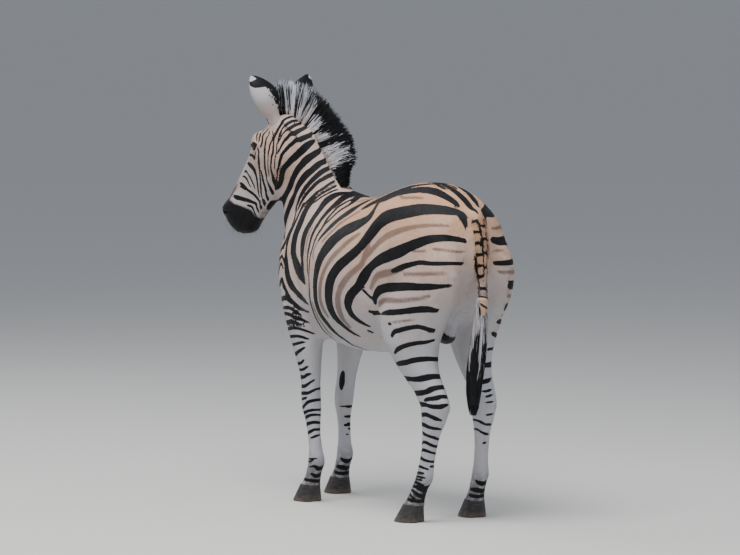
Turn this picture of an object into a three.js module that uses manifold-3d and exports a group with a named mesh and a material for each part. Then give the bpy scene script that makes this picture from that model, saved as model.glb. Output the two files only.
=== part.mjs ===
// A plains zebra stallion, life size, standing with its head turned a little to its left.
//
// Every piece is a loft: rings of a squared ellipse carried along a path, joined and cut with manifold-3d.
// The flesh is made whole and then parted by flat cuts, so its nodes meet face to face.
// The body frame is millimetres as (forward, left, up), with the ground at 0 and mid body at forward 0.
// The part's own frame is +Z up, the animal facing -Y and its left side towards +X.

import * as THREE from "three";
import { mergeVertices } from "three/addons/utils/BufferGeometryUtils.js";
import Module from "manifold-3d";

const wasm = await Module();
wasm.setup();

// ---------------------------------------------------------------- driving dimensions

const GAP = 0.3; // between two nodes that touch
const ROOM = 4000; // a box round the whole animal, to cut wedges from

const WITHERS = { forward: 430, up: 1288 };
const CROUP_UP = 1328;
const BELLY_UP = 632;
const BARREL_HALF = 305;

const POLL = { forward: 622, left: 84, up: 1530 };
const HEAD_LENGTH = 536; // from the poll to the lips
const HEAD_PITCH = 51; // degrees that the face points below level
const HEAD_YAW = 15; // degrees that the head is turned to its left
const EYE = { along: 147, above: 36, out: 83, radius: 21 };

// The left ear and the right ear: where each tip stands from the middle of its root.
const EAR = { along: 8, above: 60, out: 56, half: 61, wall: 5 };
const EAR_TIP = { left: [14, 96, 166], right: [16, -92, 167] };
const EAR_FACING = { left: -16, right: -5 }; // turned to the left of the heading

const FORELEG = { forward: 440, left: 130, knee: 405, hip: 900 };
const HINDLEG = { forward: -475, left: 132, knee: 480, hip: 1050 };
// How far each leg stands forward of its plain place, at the knee or hock and at the foot,
// how far outward the foot is, and how many degrees the leg is turned outward.
const STANCE = {
  foreleg_left: { knee: -46, foot: -72, out: -8, turn: 3 },
  foreleg_right: { knee: 108, foot: 98, out: -8, turn: 6 },
  hindleg_left: { knee: -8, foot: 60, out: 14, turn: 16 },
  hindleg_right: { knee: 36, foot: 66, out: 4, turn: 8 },
};

const HOOF = { top: 72, length: 124, width: 106 };

const MANE = { height: 152, root: 26, tip: 11 }; // height, and half thickness below and above
const TAIL_TOP = 1235;
const TAIL_END = 428;

// ---------------------------------------------------------------- materials

const coat = new THREE.MeshStandardMaterial({ color: 0xd9c4ad, roughness: 0.75 });
const dark = new THREE.MeshStandardMaterial({ color: 0x17161a, roughness: 0.7 });
const horn = new THREE.MeshStandardMaterial({ color: 0x3f3a38, roughness: 0.6 });
const eyeball = new THREE.MeshStandardMaterial({ color: 0x120c09, roughness: 0.15 });

// ---------------------------------------------------------------- small helpers

const rad = THREE.MathUtils.degToRad;
const at = (forward, left, up) => new THREE.Vector3(left, -forward, up);

// A row of a station table at t, between the rows by cubic curves. The first column is the position.
function sample(rows, t) {
  let i = rows.findIndex((row) => row[0] >= t);
  if (i < 0) i = rows.length - 1;
  i = Math.max(1, i);
  const [a, b] = [rows[i - 1], rows[i]];
  const before = rows[i - 2] ?? a;
  const after = rows[i + 1] ?? b;
  const span = b[0] - a[0];
  const x = THREE.MathUtils.clamp((t - a[0]) / span, 0, 1);
  return a.map((_, k) => {
    const slopeA = ((b[k] - before[k]) / (b[0] - before[0])) * span;
    const slopeB = ((after[k] - a[k]) / (after[0] - a[0])) * span;
    const x2 = x * x;
    const x3 = x2 * x;
    return (
      a[k] * (2 * x3 - 3 * x2 + 1) + slopeA * (x3 - 2 * x2 + x) + b[k] * (3 * x2 - 2 * x3) + slopeB * (x3 - x2)
    );
  });
}

// Rows of a station table at count even steps.
function stations(rows, count) {
  const [first, last] = [rows[0][0], rows[rows.length - 1][0]];
  return Array.from({ length: count }, (_, i) => sample(rows, first + ((last - first) * i) / (count - 1)));
}

const power = (x, n) => Math.sign(x) * Math.abs(x) ** (2 / n);

// One ring: a squared ellipse round centre, half across along side, and up and down along rise.
function ring({ centre, side, rise, across, up, down, squareUp = 2, squareDown = 2 }, sides) {
  return Array.from({ length: sides }, (_, i) => {
    const angle = (2 * Math.PI * i) / sides;
    const [c, s] = [Math.cos(angle), Math.sin(angle)];
    const square = s > 0 ? squareUp : squareDown;
    return centre
      .clone()
      .addScaledVector(side, across * power(c, square))
      .addScaledVector(rise, (s > 0 ? up : down) * power(s, square));
  });
}

// A closed mesh through rings of the same number of points, each end closed by a fan.
function skin(rings) {
  const sides = rings[0].length;
  const points = rings.flat();
  const index = [];
  for (let r = 0; r + 1 < rings.length; r++)
    for (let i = 0; i < sides; i++) {
      const [a, b] = [r * sides + i, r * sides + ((i + 1) % sides)];
      index.push(a, b, a + sides, b, b + sides, a + sides);
    }
  for (const [r, turn] of [
    [0, false],
    [rings.length - 1, true],
  ]) {
    const middle = points.push(rings[r].reduce((sum, p) => sum.add(p), new THREE.Vector3()).divideScalar(sides)) - 1;
    for (let i = 0; i < sides; i++) {
      const [a, b] = [r * sides + i, r * sides + ((i + 1) % sides)];
      index.push(...(turn ? [a, b, middle] : [b, a, middle]));
    }
  }
  const geometry = new THREE.BufferGeometry().setFromPoints(points);
  geometry.setIndex(index);
  return solid(geometry);
}

// A manifold solid from a closed geometry, turned right side out.
function solid(geometry) {
  for (const name of ["normal", "uv"]) geometry.deleteAttribute(name);
  const merged = mergeVertices(geometry, 1e-3);
  const triVerts = new Uint32Array(merged.index.array);
  const vertProperties = new Float32Array(merged.attributes.position.array);
  const made = new wasm.Manifold(new wasm.Mesh({ numProp: 3, vertProperties, triVerts }));
  if (made.volume() >= 0) return made;
  for (let i = 0; i < triVerts.length; i += 3) [triVerts[i + 1], triVerts[i + 2]] = [triVerts[i + 2], triVerts[i + 1]];
  return new wasm.Manifold(new wasm.Mesh({ numProp: 3, vertProperties, triVerts }));
}

function join(solids) {
  return solids.reduce((whole, piece) => whole.add(piece));
}

// The part of a solid past the plane through point, on the side that normal points to, half a gap clear of it.
function past(shape, point, normal) {
  const n = normal.clone().normalize();
  return shape.trimByPlane(n.toArray(), n.dot(point) + GAP / 2);
}

// The two sides of a plane, with the gap between them.
function part(shape, point, normal) {
  return [past(shape, point, normal), past(shape, point, normal.clone().negate())];
}

function largest(shape) {
  return shape.decompose().sort((a, b) => b.volume() - a.volume())[0];
}

// ---------------------------------------------------------------- trunk

// forward, top, widest level, bottom, half width, squareness above, below
const TRUNK = [
  [-628, 1130, 1080, 1020, 40, 2, 2],
  [-612, 1180, 1060, 965, 96, 2, 2],
  [-580, 1222, 1045, 905, 156, 2, 2],
  [-520, 1268, 1030, 838, 204, 2, 2],
  [-430, 1308, 1020, 772, 232, 2.1, 2],
  [-330, CROUP_UP, 1010, 720, 252, 2.1, 2.1],
  [-220, 1322, 985, 685, 274, 2.1, 2.2],
  [-100, 1292, 950, 650, 297, 2.1, 2.2],
  [20, 1262, 930, BELLY_UP, BARREL_HALF, 2.1, 2.2],
  [150, 1248, 925, 633, 290, 2.1, 2.2],
  [280, 1258, 925, 645, 252, 2.05, 2.1],
  [380, 1282, 925, 655, 222, 1.9, 2.1],
  [WITHERS.forward + 30, WITHERS.up, 925, 668, 205, 1.8, 2.1],
  [550, 1255, 920, 700, 190, 2, 2.1],
  [620, 1150, 915, 750, 152, 2, 2],
  [660, 1050, 905, 800, 92, 2, 2],
  [675, 960, 900, 845, 30, 2, 2],
];

function trunkLoft(grow = 0) {
  const up = at(0, 0, 1);
  const left = at(0, 1, 0);
  return skin(
    stations(TRUNK, 26).map(([forward, top, level, bottom, half, squareUp, squareDown]) =>
      ring(
        {
          centre: at(forward, 0, level),
          side: left,
          rise: up,
          across: half + grow,
          up: top - level + grow,
          down: level - bottom + grow,
          squareUp,
          squareDown,
        },
        24,
      ),
    ),
  );
}

// ---------------------------------------------------------------- legs

// up, forward, left, half length, half width, squareness: offsets from the leg's place
const FORELEG_ROWS = [
  [HOOF.top - 12, 50, 0, 42, 38, 2.2],
  [84, 42, 0, 36, 34, 2.2],
  [110, 28, 0, 32, 31, 2.2],
  [140, 10, 0, 36, 33, 2.2],
  [165, 0, 0, 37, 34, 2.3],
  [190, 0, 0, 32, 29, 2.3],
  [225, 2, 0, 29, 26, 2.3],
  [300, 4, 0, 30, 26, 2.3],
  [345, 6, 0, 33, 31, 2.3],
  [385, 9, 0, 40, 38, 2.5],
  [420, 10, 0, 41, 40, 2.5],
  [455, 6, 0, 39, 37, 2.4],
  [500, 3, 0, 43, 39, 2.2],
  [570, 4, 2, 56, 47, 2.1],
  [640, 8, 4, 78, 56, 2.1],
  [710, 12, 4, 102, 66, 2.1],
  [790, 20, -2, 124, 76, 2.1],
  [880, 34, -10, 136, 84, 2.1],
  [980, 40, -22, 130, 84, 2.1],
  [1070, 20, -40, 105, 74, 2.1],
  [1130, 0, -60, 60, 50, 2.1],
];

const HINDLEG_ROWS = [
  [HOOF.top - 12, 30, 0, 42, 38, 2.2],
  [86, 20, 0, 36, 34, 2.2],
  [112, 8, 0, 33, 31, 2.2],
  [142, -10, 0, 37, 34, 2.2],
  [168, -20, 0, 38, 34, 2.3],
  [195, -20, 0, 33, 29, 2.3],
  [235, -20, 0, 31, 27, 2.3],
  [320, -20, 0, 33, 28, 2.3],
  [375, -20, 0, 43, 35, 2.3],
  [420, -24, 0, 57, 41, 2.4],
  [465, -26, 0, 66, 44, 2.4],
  [505, -6, 0, 72, 44, 2.2],
  [550, 32, 0, 80, 48, 2.1],
  [610, 74, 0, 97, 57, 2.1],
  [680, 102, 4, 124, 74, 2.1],
  [750, 108, 6, 156, 89, 2.1],
  [830, 86, 6, 186, 97, 2.1],
  [910, 56, 2, 203, 99, 2.1],
  [1000, 38, -6, 198, 98, 2.1],
  [1090, 42, -22, 176, 92, 2.1],
  [1160, 52, -40, 132, 74, 2.1],
  [1210, 62, -56, 70, 46, 2.1],
];

const forwards = at(1, 0, 0);
const leftwards = at(0, 1, 0);
const upwards = at(0, 0, 1);

// The frame of a leg's slice at a height: how it stands off its plain place, and the way it faces.
// Both are nothing at the hip and whole at the foot.
function legFrame(place, side, stance, up) {
  const [, ahead, out, turn] = sample(
    [
      [140, stance.foot, stance.out, stance.turn],
      [place.knee, stance.knee, stance.out * 0.3, stance.turn],
      [place.hip, 0, 0, 0],
    ],
    THREE.MathUtils.clamp(up, 140, place.hip),
  );
  const angle = side * rad(turn);
  return {
    origin: at(place.forward + ahead, side * (place.left + out), up),
    facing: forwards.clone().applyAxisAngle(upwards, angle),
    outward: leftwards.clone().multiplyScalar(side).applyAxisAngle(upwards, angle),
  };
}

// A leg as level slices.
function legLoft(rows, place, side, stance, grow = 0) {
  return skin(
    stations(rows, 21).map(([up, ahead, out, halfLength, halfWidth, square]) => {
      const { origin, facing, outward } = legFrame(place, side, stance, up);
      return ring(
        {
          centre: origin.addScaledVector(facing, ahead).addScaledVector(outward, out),
          side: outward,
          rise: facing,
          across: halfWidth + grow,
          up: halfLength + grow,
          down: halfLength + grow,
          squareUp: square,
          squareDown: square,
        },
        12,
      );
    }),
  );
}

// The hoof: an oval block on a flat sole, longer and wider below, with the toe ahead and the heels squarer.
function hoofLoft(rows, place, side, stance) {
  const { origin, facing, outward } = legFrame(place, side, stance, 0);
  const coronet = rows[0][1];
  // height, ahead of the coronet's middle, half length, half width
  const levels = [
    [0, 21, HOOF.length / 2, HOOF.width / 2],
    [5, 19, HOOF.length / 2, HOOF.width / 2],
    [HOOF.top * 0.5, 9, 52, 46],
    [HOOF.top, -2, 42, 38],
  ];
  return skin(
    levels.map(([up, ahead, halfLength, halfWidth]) =>
      ring(
        {
          centre: origin.clone().addScaledVector(facing, coronet + ahead).addScaledVector(upwards, up),
          side: outward,
          rise: facing,
          across: halfWidth,
          up: halfLength,
          down: halfLength * 0.92,
          squareUp: 2.1,
          squareDown: 2.6,
        },
        14,
      ),
    ),
  );
}

// ---------------------------------------------------------------- neck and head

const heading = at(Math.cos(rad(HEAD_YAW)), Math.sin(rad(HEAD_YAW)), 0);
const headAlong = heading
  .clone()
  .multiplyScalar(Math.cos(rad(HEAD_PITCH)))
  .add(at(0, 0, -Math.sin(rad(HEAD_PITCH))));
const headUp = heading
  .clone()
  .multiplyScalar(Math.sin(rad(HEAD_PITCH)))
  .add(at(0, 0, Math.cos(rad(HEAD_PITCH))));
const headLeft = new THREE.Vector3().crossVectors(at(0, 0, 1), heading);
const poll = at(POLL.forward, POLL.left, POLL.up);
const inHead = (along, above, out) =>
  poll.clone().addScaledVector(headAlong, along).addScaledVector(headUp, above).addScaledVector(headLeft, out);

// along the head from the poll: top, middle and bottom above its axis, half width, squareness above, below
const HEAD = [
  [-40, 20, -20, -62, 36, 2, 2],
  [-25, 44, -22, -88, 54, 2, 2],
  [10, 66, -18, -122, 70, 2.1, 2],
  [60, 79, -8, -144, 82, 2.3, 2],
  [110, 86, -4, -154, 91, 2.5, 2],
  [155, 87, 0, -153, 94, 2.6, 2],
  [200, 82, 0, -144, 87, 2.4, 2.05],
  [250, 79, -2, -144, 73, 2.4, 2.1],
  [310, 76, -6, -134, 62, 2.5, 2.1],
  [370, 71, -10, -125, 57, 2.5, 2.2],
  [420, 67, -14, -121, 57, 2.4, 2.2],
  [460, 63, -18, -121, 61, 2.4, 2.3],
  [492, 53, -20, -113, 60, 2.4, 2.3],
  [519, 34, -24, -95, 50, 2.2, 2.2],
  [HEAD_LENGTH, 8, -32, -70, 31, 2, 2],
];

function headLoft(grow = 0) {
  return skin(
    stations(HEAD, 21).map(([along, top, middle, bottom, half, squareUp, squareDown]) =>
      ring(
        {
          centre: inHead(along, middle, 0),
          side: headLeft,
          rise: headUp,
          across: half + grow,
          up: top - middle + grow,
          down: middle - bottom + grow,
          squareUp,
          squareDown,
        },
        18,
      ),
    ),
  );
}

// An egg round centre, with its three half sizes along, up and across the directions given.
function egg(centre, [along, up, across], [halfAlong, halfUp, halfAcross], sides = 8) {
  const rings = Array.from({ length: 7 }, (_, i) => {
    const angle = Math.PI * (i / 6 - 0.5) * 0.94;
    const r = Math.cos(angle);
    return ring(
      {
        centre: centre.clone().addScaledVector(along, halfAlong * Math.sin(angle)),
        side: across,
        rise: up,
        across: halfAcross * r,
        up: halfUp * r,
        down: halfUp * r,
      },
      sides,
    );
  });
  return skin(rings);
}

// The neck's centre line, from inside the shoulders to inside the back of the head.
const neckLine = new THREE.CatmullRomCurve3([
  at(370, 0, 1010),
  at(455, 4, 1130),
  at(522, 18, 1250),
  at(562, 40, 1370),
  at(590, 64, 1465),
  inHead(10, -20, 0),
]);

// share of the neck's line: towards the crest, towards the throat, half width
const NECK = [
  [0, 170, 266, 150],
  [0.2, 178, 270, 143],
  [0.4, 166, 238, 119],
  [0.6, 140, 176, 95],
  [0.8, 114, 120, 80],
  [0.95, 96, 96, 70],
  [1, 66, 72, 50],
];

// The frame across the neck at a share of its line, rise pointing to the crest.
function neckFrame(share) {
  const along = neckLine.getTangentAt(share);
  const side = leftwards.clone().applyAxisAngle(upwards, rad(HEAD_YAW) * share);
  side.addScaledVector(along, -side.dot(along)).normalize();
  return { centre: neckLine.getPointAt(share), side, rise: new THREE.Vector3().crossVectors(along, side) };
}

function neckLoft(grow = 0) {
  return skin(
    stations(NECK, 12).map(([share, crest, throat, half]) =>
      ring(
        {
          ...neckFrame(THREE.MathUtils.clamp(share, 0, 1)),
          across: half + grow,
          up: crest + grow,
          down: throat + grow,
          squareUp: 1.8,
          squareDown: 2.1,
        },
        20,
      ),
    ),
  );
}

// ---------------------------------------------------------------- ears, mane and tail

// An ear: a leaf-shaped solid from its root to its tip, hollowed from the front.
function earShell(side) {
  const root = inHead(EAR.along, EAR.above, side * EAR.out);
  const [forward, left, up] = side > 0 ? EAR_TIP.left : EAR_TIP.right;
  const stem = at(forward, left, up);
  const length = stem.length();
  const axis = stem.clone().normalize();
  const front = heading.clone().applyAxisAngle(upwards, rad(side > 0 ? EAR_FACING.left : EAR_FACING.right));
  front.addScaledVector(axis, -front.dot(axis)).normalize();
  const across = new THREE.Vector3().crossVectors(axis, front);
  // share of the length: half width, half depth, ahead of the stem
  const shape = [
    [-0.16, 28, 30, 0],
    [0, 32, 31, 0],
    [0.2, 52, 34, -3],
    [0.42, EAR.half, 35, -8],
    [0.62, 54, 29, -10],
    [0.8, 38, 21, -8],
    [0.93, 20, 11, -3],
    [1, 6, 4, 2],
  ];
  const loft = (rows, count, inset, shift) =>
    skin(
      stations(rows, count).map(([share, half, deep, ahead]) =>
        ring(
          {
            centre: root.clone().addScaledVector(axis, share * length).addScaledVector(front, ahead + shift * deep),
            side: across,
            rise: front,
            across: Math.max(1, half - inset),
            up: deep,
            down: Math.max(1, deep * (1 + shift) - inset * 0.9),
          },
          10,
        ),
      ),
    );
  const outer = loft(shape, 10, 0, 0);
  const hollow = loft([...shape.slice(2, 7), [1.02, 9, 6, 3]], 8, EAR.wall, 0.45);
  return largest(outer.subtract(hollow));
}

// The mane's root line over the crest of the neck, between the ears and down to the forelock.
const maneRoot = [0.41, 0.52, 0.63, 0.74, 0.85].map((share) => {
  const { centre, rise } = neckFrame(share);
  return { point: centre.addScaledVector(rise, sample(NECK, share)[1]), rise };
});
maneRoot.push({ point: inHead(-22, 62, 0), rise: headUp.clone().addScaledVector(headAlong, -0.75).normalize() });
maneRoot.push({ point: inHead(30, 72, 0), rise: headUp.clone().addScaledVector(headAlong, -0.62).normalize() });
maneRoot.push({ point: inHead(70, 79, 0), rise: headUp.clone().addScaledVector(headAlong, -0.5).normalize() });
const maneLine = new THREE.CatmullRomCurve3(maneRoot.map(({ point }) => point));

function maneFin() {
  const count = 18;
  return skin(
    Array.from({ length: count }, (_, i) => {
      const t = i / (count - 1);
      const span = t * (maneRoot.length - 1);
      const k = Math.min(maneRoot.length - 2, Math.floor(span));
      const along = maneLine.getTangent(t);
      const rise = maneRoot[k].rise.clone().lerp(maneRoot[k + 1].rise, span - k);
      const side = new THREE.Vector3().crossVectors(rise, along).normalize();
      const height = sample(
        [
          [0, 44],
          [0.1, 66],
          [0.2, 96],
          [0.3, MANE.height - 16],
          [0.4, MANE.height],
          [0.65, MANE.height],
          [0.7, MANE.height - 26],
          [0.76, 100],
          [1, 74],
        ],
        t,
      )[1];
      const centre = maneLine.getPoint(t).addScaledVector(rise, height / 2 - 16);
      const narrow = t > 0.9 ? 0.75 : 1;
      return ring({ centre, side, rise, across: 1, up: 1, down: 1 }, 10).map((p) => {
        const d = p.clone().sub(centre);
        const [x, y] = [d.dot(side), d.dot(rise)];
        const half = THREE.MathUtils.lerp(MANE.root, MANE.tip, (y + 1) / 2) * narrow;
        return centre
          .clone()
          .addScaledVector(side, power(x, 2.4) * half)
          .addScaledVector(rise, power(y, 2.8) * (height / 2 + 16));
      });
    }),
  );
}

// The tail hangs from its root in two runs: the dock, and the long hair with its tuft.
const tailLine = new THREE.CatmullRomCurve3([
  at(-545, 0, TAIL_TOP - 14),
  at(-588, 0, TAIL_TOP - 24),
  at(-619, 0, TAIL_TOP - 80),
  at(-636, 0, TAIL_TOP - 180),
  at(-641, 1, TAIL_TOP - 320),
  at(-630, 7, TAIL_TOP - 480),
  at(-614, 17, TAIL_TOP - 640),
  at(-608, 22, TAIL_END),
]);

// share of the tail's line: half width, half depth
const TAIL_ROWS = [
  [0, 34, 22],
  [0.1, 31, 24],
  [0.2, 27, 24],
  [0.34, 24, 21],
  [0.46, 21, 19],
  [0.56, 25, 23],
  [0.68, 34, 31],
  [0.8, 37, 34],
  [0.9, 30, 27],
  [0.97, 15, 14],
  [1, 4, 4],
];

function tailLoft(grow = 0) {
  return skin(
    stations(TAIL_ROWS, 19).map(([share, half, deep]) => {
      const t = THREE.MathUtils.clamp(share, 0, 1);
      const along = tailLine.getTangentAt(t);
      const rise = new THREE.Vector3().crossVectors(along, leftwards).normalize();
      return ring(
        { centre: tailLine.getPointAt(t), side: leftwards, rise, across: half + grow, up: deep + grow, down: deep + grow },
        10,
      );
    }),
  );
}

// ---------------------------------------------------------------- build

const legs = {
  foreleg_left: [FORELEG_ROWS, FORELEG, 1, STANCE.foreleg_left],
  foreleg_right: [FORELEG_ROWS, FORELEG, -1, STANCE.foreleg_right],
  hindleg_left: [HINDLEG_ROWS, HINDLEG, 1, STANCE.hindleg_left],
  hindleg_right: [HINDLEG_ROWS, HINDLEG, -1, STANCE.hindleg_right],
};

const headAxes = [headAlong, headUp, headLeft];
const eyeBall = (side, grow = 0) =>
  solid(new THREE.SphereGeometry(EYE.radius + grow, 10, 7)).translate(
    inHead(EYE.along, EYE.above, side * EYE.out).toArray(),
  );
const faceForms = [1, -1].flatMap((side) => [
  egg(inHead(118, -64, side * 58), headAxes, [86, 76, 32]), // cheek
  egg(inHead(132, 64, side * 62), headAxes, [42, 22, 32]), // brow
  egg(inHead(478, 26, side * 36), headAxes, [38, 32, 27]), // nostril's swelling
]);
const pouch = egg(at(-404, 0, 752), [forwards, upwards, leftwards], [44, 44, 34]);

let flesh = join([
  trunkLoft(),
  neckLoft(),
  headLoft(),
  ...faceForms,
  pouch,
  ...Object.values(legs).map((leg) => legLoft(...leg)),
]);
flesh = flesh.simplify(0.25);
for (const side of [1, -1]) {
  flesh = flesh.subtract(egg(inHead(502, 24, side * 56), headAxes, [17, 10, 14], 8));
  flesh = flesh.subtract(eyeBall(side, GAP * 1.5));
}

const pieces = new Map();

// Takes out of the flesh what lies past every one of the planes, each given as a point and an inward normal.
function carve(planes) {
  const room = (grow) =>
    planes.reduce((box, [point, normal]) => {
      const n = normal.clone().normalize();
      return box.trimByPlane(n.toArray(), n.dot(point) - grow);
    }, solid(new THREE.BoxGeometry(ROOM, ROOM, ROOM)));
  const taken = largest(flesh.intersect(room(-GAP / 2)));
  flesh = largest(flesh.subtract(room(GAP / 2)));
  return taken;
}

// Each leg is taken off by a slanting cut up through the armpit or the groin, then parted at its joints.
for (const [name, leg] of Object.entries(legs)) {
  const [, place, side] = leg;
  const hind = place === HINDLEG;
  const inward = hind ? 26 : 36;
  const slope = leftwards.clone().multiplyScalar(side * Math.sin(rad(hind ? 38 : 34)));
  slope.addScaledVector(upwards, -Math.cos(rad(hind ? 38 : 34)));
  const limb = carve([
    [at(0, side * inward, hind ? 760 : 668), slope],
    [at(0, side * inward, 0), leftwards.clone().multiplyScalar(side)],
    [at(hind ? -205 : 262, 0, 760), at(hind ? -1 : 1, 0, hind ? -0.42 : -0.16)],
  ]);
  const cuts = hind
    ? [
        ["thigh", 640],
        ["gaskin", 470],
        ["cannon", 158],
        ["pastern", HOOF.top],
      ]
    : [
        ["forearm", 405],
        ["cannon", 158],
        ["pastern", HOOF.top],
      ];
  let below = limb;
  for (const [title, up] of cuts) {
    const [under, over] = part(below, at(0, 0, up), upwards.clone().negate());
    pieces.set(`${name}_${title}`, [largest(over), coat]);
    below = under;
  }
  pieces.set(`${name}_hoof`, [hoofLoft(...leg).trimByPlane([0, 0, -1], -(HOOF.top - GAP / 2)), horn]);
}

// The head comes off behind the ears and the cheeks, and above the throat; the neck before the withers.
const headShape = carve([
  [inHead(-14, 75, 0), headAlong.clone().multiplyScalar(0.94).addScaledVector(headUp, 0.34)],
  [inHead(110, -160, 0), headUp.clone().addScaledVector(headAlong, -0.135)],
]);
const neckShape = carve([[at(400, 0, 1300), at(450, 0, 300)]]);
pieces.set("head", [headShape, coat]);
pieces.set("neck", [neckShape, coat]);
pieces.set("trunk", [flesh, coat]);

const clear = (shape, others) => largest(others.reduce((rest, other) => rest.subtract(other), shape));
const fleshGrown = [trunkLoft(GAP), neckLoft(GAP), headLoft(GAP)];
const thighsGrown = ["hindleg_left", "hindleg_right"].map((name) => legLoft(...legs[name], GAP));
pieces.set("ear_left", [clear(earShell(1), fleshGrown), coat]);
pieces.set("ear_right", [clear(earShell(-1), fleshGrown), coat]);
pieces.set("mane", [clear(maneFin(), fleshGrown), dark]);
pieces.set("eye_left", [eyeBall(1), eyeball]);
pieces.set("eye_right", [eyeBall(-1), eyeball]);
const tail = clear(tailLoft(), [...fleshGrown, ...thighsGrown]);
const [hair, dock] = part(tail, tailLine.getPointAt(0.46), tailLine.getTangentAt(0.46));
pieces.set("tail_dock", [largest(dock), coat]);
pieces.set("tail_hair", [largest(hair), dark]);

// ---------------------------------------------------------------- hand over

function meshOf(name, [shape, material]) {
  const { vertProperties, triVerts, numProp } = shape.getMesh();
  const position = new Float32Array((vertProperties.length / numProp) * 3);
  for (let i = 0; i < position.length / 3; i++)
    position.set(vertProperties.subarray(i * numProp, i * numProp + 3), i * 3);
  const geometry = new THREE.BufferGeometry();
  geometry.setAttribute("position", new THREE.BufferAttribute(position, 3));
  geometry.setIndex(new THREE.BufferAttribute(new Uint32Array(triVerts), 1));
  geometry.computeVertexNormals();
  const mesh = new THREE.Mesh(geometry, material);
  mesh.name = name;
  return mesh;
}

// The whole stands on z = 0 with the middle of its box over the origin.
const body = new THREE.Group();
for (const [name, piece] of pieces) body.add(meshOf(name, piece));
const box = new THREE.Box3().setFromObject(body);
const middle = box.getCenter(new THREE.Vector3());
body.position.set(-middle.x, -middle.y, -box.min.z);
const zebra = new THREE.Group();
zebra.add(body);

export default zebra;
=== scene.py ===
# %% [markdown]
# # A plains zebra stallion, life size
#
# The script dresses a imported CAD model: it wraps one smooth skin round the flesh, paints the
# stripes on it as measured curves, and plants the mane, the tail and the short coat as solid locks.
# Everything is in metres, in the frame's own axes.

# %% Load the frame
import math

import bmesh
import bpy
import numpy as np
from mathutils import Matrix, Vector


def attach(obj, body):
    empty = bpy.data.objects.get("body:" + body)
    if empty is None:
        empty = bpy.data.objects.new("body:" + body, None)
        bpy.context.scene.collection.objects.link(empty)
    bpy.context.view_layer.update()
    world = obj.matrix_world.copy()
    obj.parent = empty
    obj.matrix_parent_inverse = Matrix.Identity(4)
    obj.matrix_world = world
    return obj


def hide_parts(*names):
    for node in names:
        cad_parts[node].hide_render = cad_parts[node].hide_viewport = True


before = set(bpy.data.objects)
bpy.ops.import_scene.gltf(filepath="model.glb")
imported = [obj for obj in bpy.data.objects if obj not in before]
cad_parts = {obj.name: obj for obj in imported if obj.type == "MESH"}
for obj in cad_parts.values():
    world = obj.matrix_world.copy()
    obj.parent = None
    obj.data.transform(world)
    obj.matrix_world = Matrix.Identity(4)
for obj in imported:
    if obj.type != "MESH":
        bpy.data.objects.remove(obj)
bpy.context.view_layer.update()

# %% [markdown]
# The animal's own coordinates are easier to think in than the frame's: `forward` from the middle of
# the trunk, `left` of the midline and `up` from the ground. The frame has its left along +X and its
# head towards -Y, and is shifted along Y so that its box is centred.

# %% Two coordinate systems
SHIFT = 0.1567
YAW = math.radians(15)
PITCH = math.radians(51)
POLL = np.array([0.622, 0.084, 1.530])
HEADING = np.array([math.cos(YAW), math.sin(YAW), 0.0])
ALONG = HEADING * math.cos(PITCH) - np.array([0, 0, math.sin(PITCH)])
ABOVE = HEADING * math.sin(PITCH) + np.array([0, 0, math.cos(PITCH)])
ASIDE = np.array([-math.sin(YAW), math.cos(YAW), 0.0])
HEAD_AXES = np.stack([ALONG, ABOVE, ASIDE])


def to_body(points):
    """Frame (x, y, z) to (forward, left, up)."""
    return np.stack([SHIFT - points[:, 1], points[:, 0], points[:, 2]], 1)


def to_frame(points):
    """(forward, left, up) back to the frame's (x, y, z)."""
    flat = points.reshape(-1, 3)
    return np.stack([flat[:, 1], SHIFT - flat[:, 0], flat[:, 2]], 1).reshape(points.shape)


def head_place(points):
    """(forward, left, up) to the head's own (along the face, above it, to its left)."""
    return (points - POLL) @ HEAD_AXES.T


def in_head(along, above, aside):
    """A point of the head, given along the face from the poll, above it and to its left."""
    return POLL + ALONG * along + ABOVE * above + ASIDE * aside


def ease(x, low, high):
    """0 below low, 1 above high, and a smooth cubic between."""
    t = np.clip((x - low) / (high - low), 0, 1)
    return t * t * (3 - 2 * t)


def bump(x, middle, width):
    """1 at the middle, falling off as a bell curve."""
    return np.exp(-(((x - middle) / width) ** 2))


# %% Mesh helpers
def make_piece(name, points, faces, material, smooth=True):
    """A new object from arrays: points in body coordinates, faces as one array or a list of arrays."""
    mesh = bpy.data.meshes.new(name)
    groups = faces if isinstance(faces, list) else [faces]
    corners = np.concatenate([g.ravel() for g in groups]).astype(np.int32)
    sizes = np.concatenate([np.full(len(g), g.shape[1]) for g in groups])
    starts = np.concatenate([[0], np.cumsum(sizes)[:-1]]).astype(np.int32)
    mesh.vertices.add(len(points))
    mesh.vertices.foreach_set("co", to_frame(points).astype(np.float32).ravel())
    mesh.loops.add(len(corners))
    mesh.loops.foreach_set("vertex_index", corners)
    mesh.polygons.add(len(sizes))
    mesh.polygons.foreach_set("loop_start", starts)
    mesh.update(calc_edges=True)
    mesh.polygons.foreach_set("use_smooth", np.full(len(sizes), smooth))
    mesh.update()
    piece = bpy.data.objects.new(name, mesh)
    bpy.context.scene.collection.objects.link(piece)
    if material is not None:
        mesh.materials.append(material)
    return piece


def set_field(piece, name, values):
    """Stores one number for each vertex as a named attribute."""
    layer = piece.data.attributes.new(name, "FLOAT", "POINT")
    layer.data.foreach_set("value", np.asarray(values, np.float32))


def places(mesh):
    """The mesh's vertices in body coordinates."""
    flat = np.zeros(len(mesh.vertices) * 3, np.float32)
    mesh.vertices.foreach_get("co", flat)
    return to_body(flat.reshape(-1, 3).astype(float))


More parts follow.
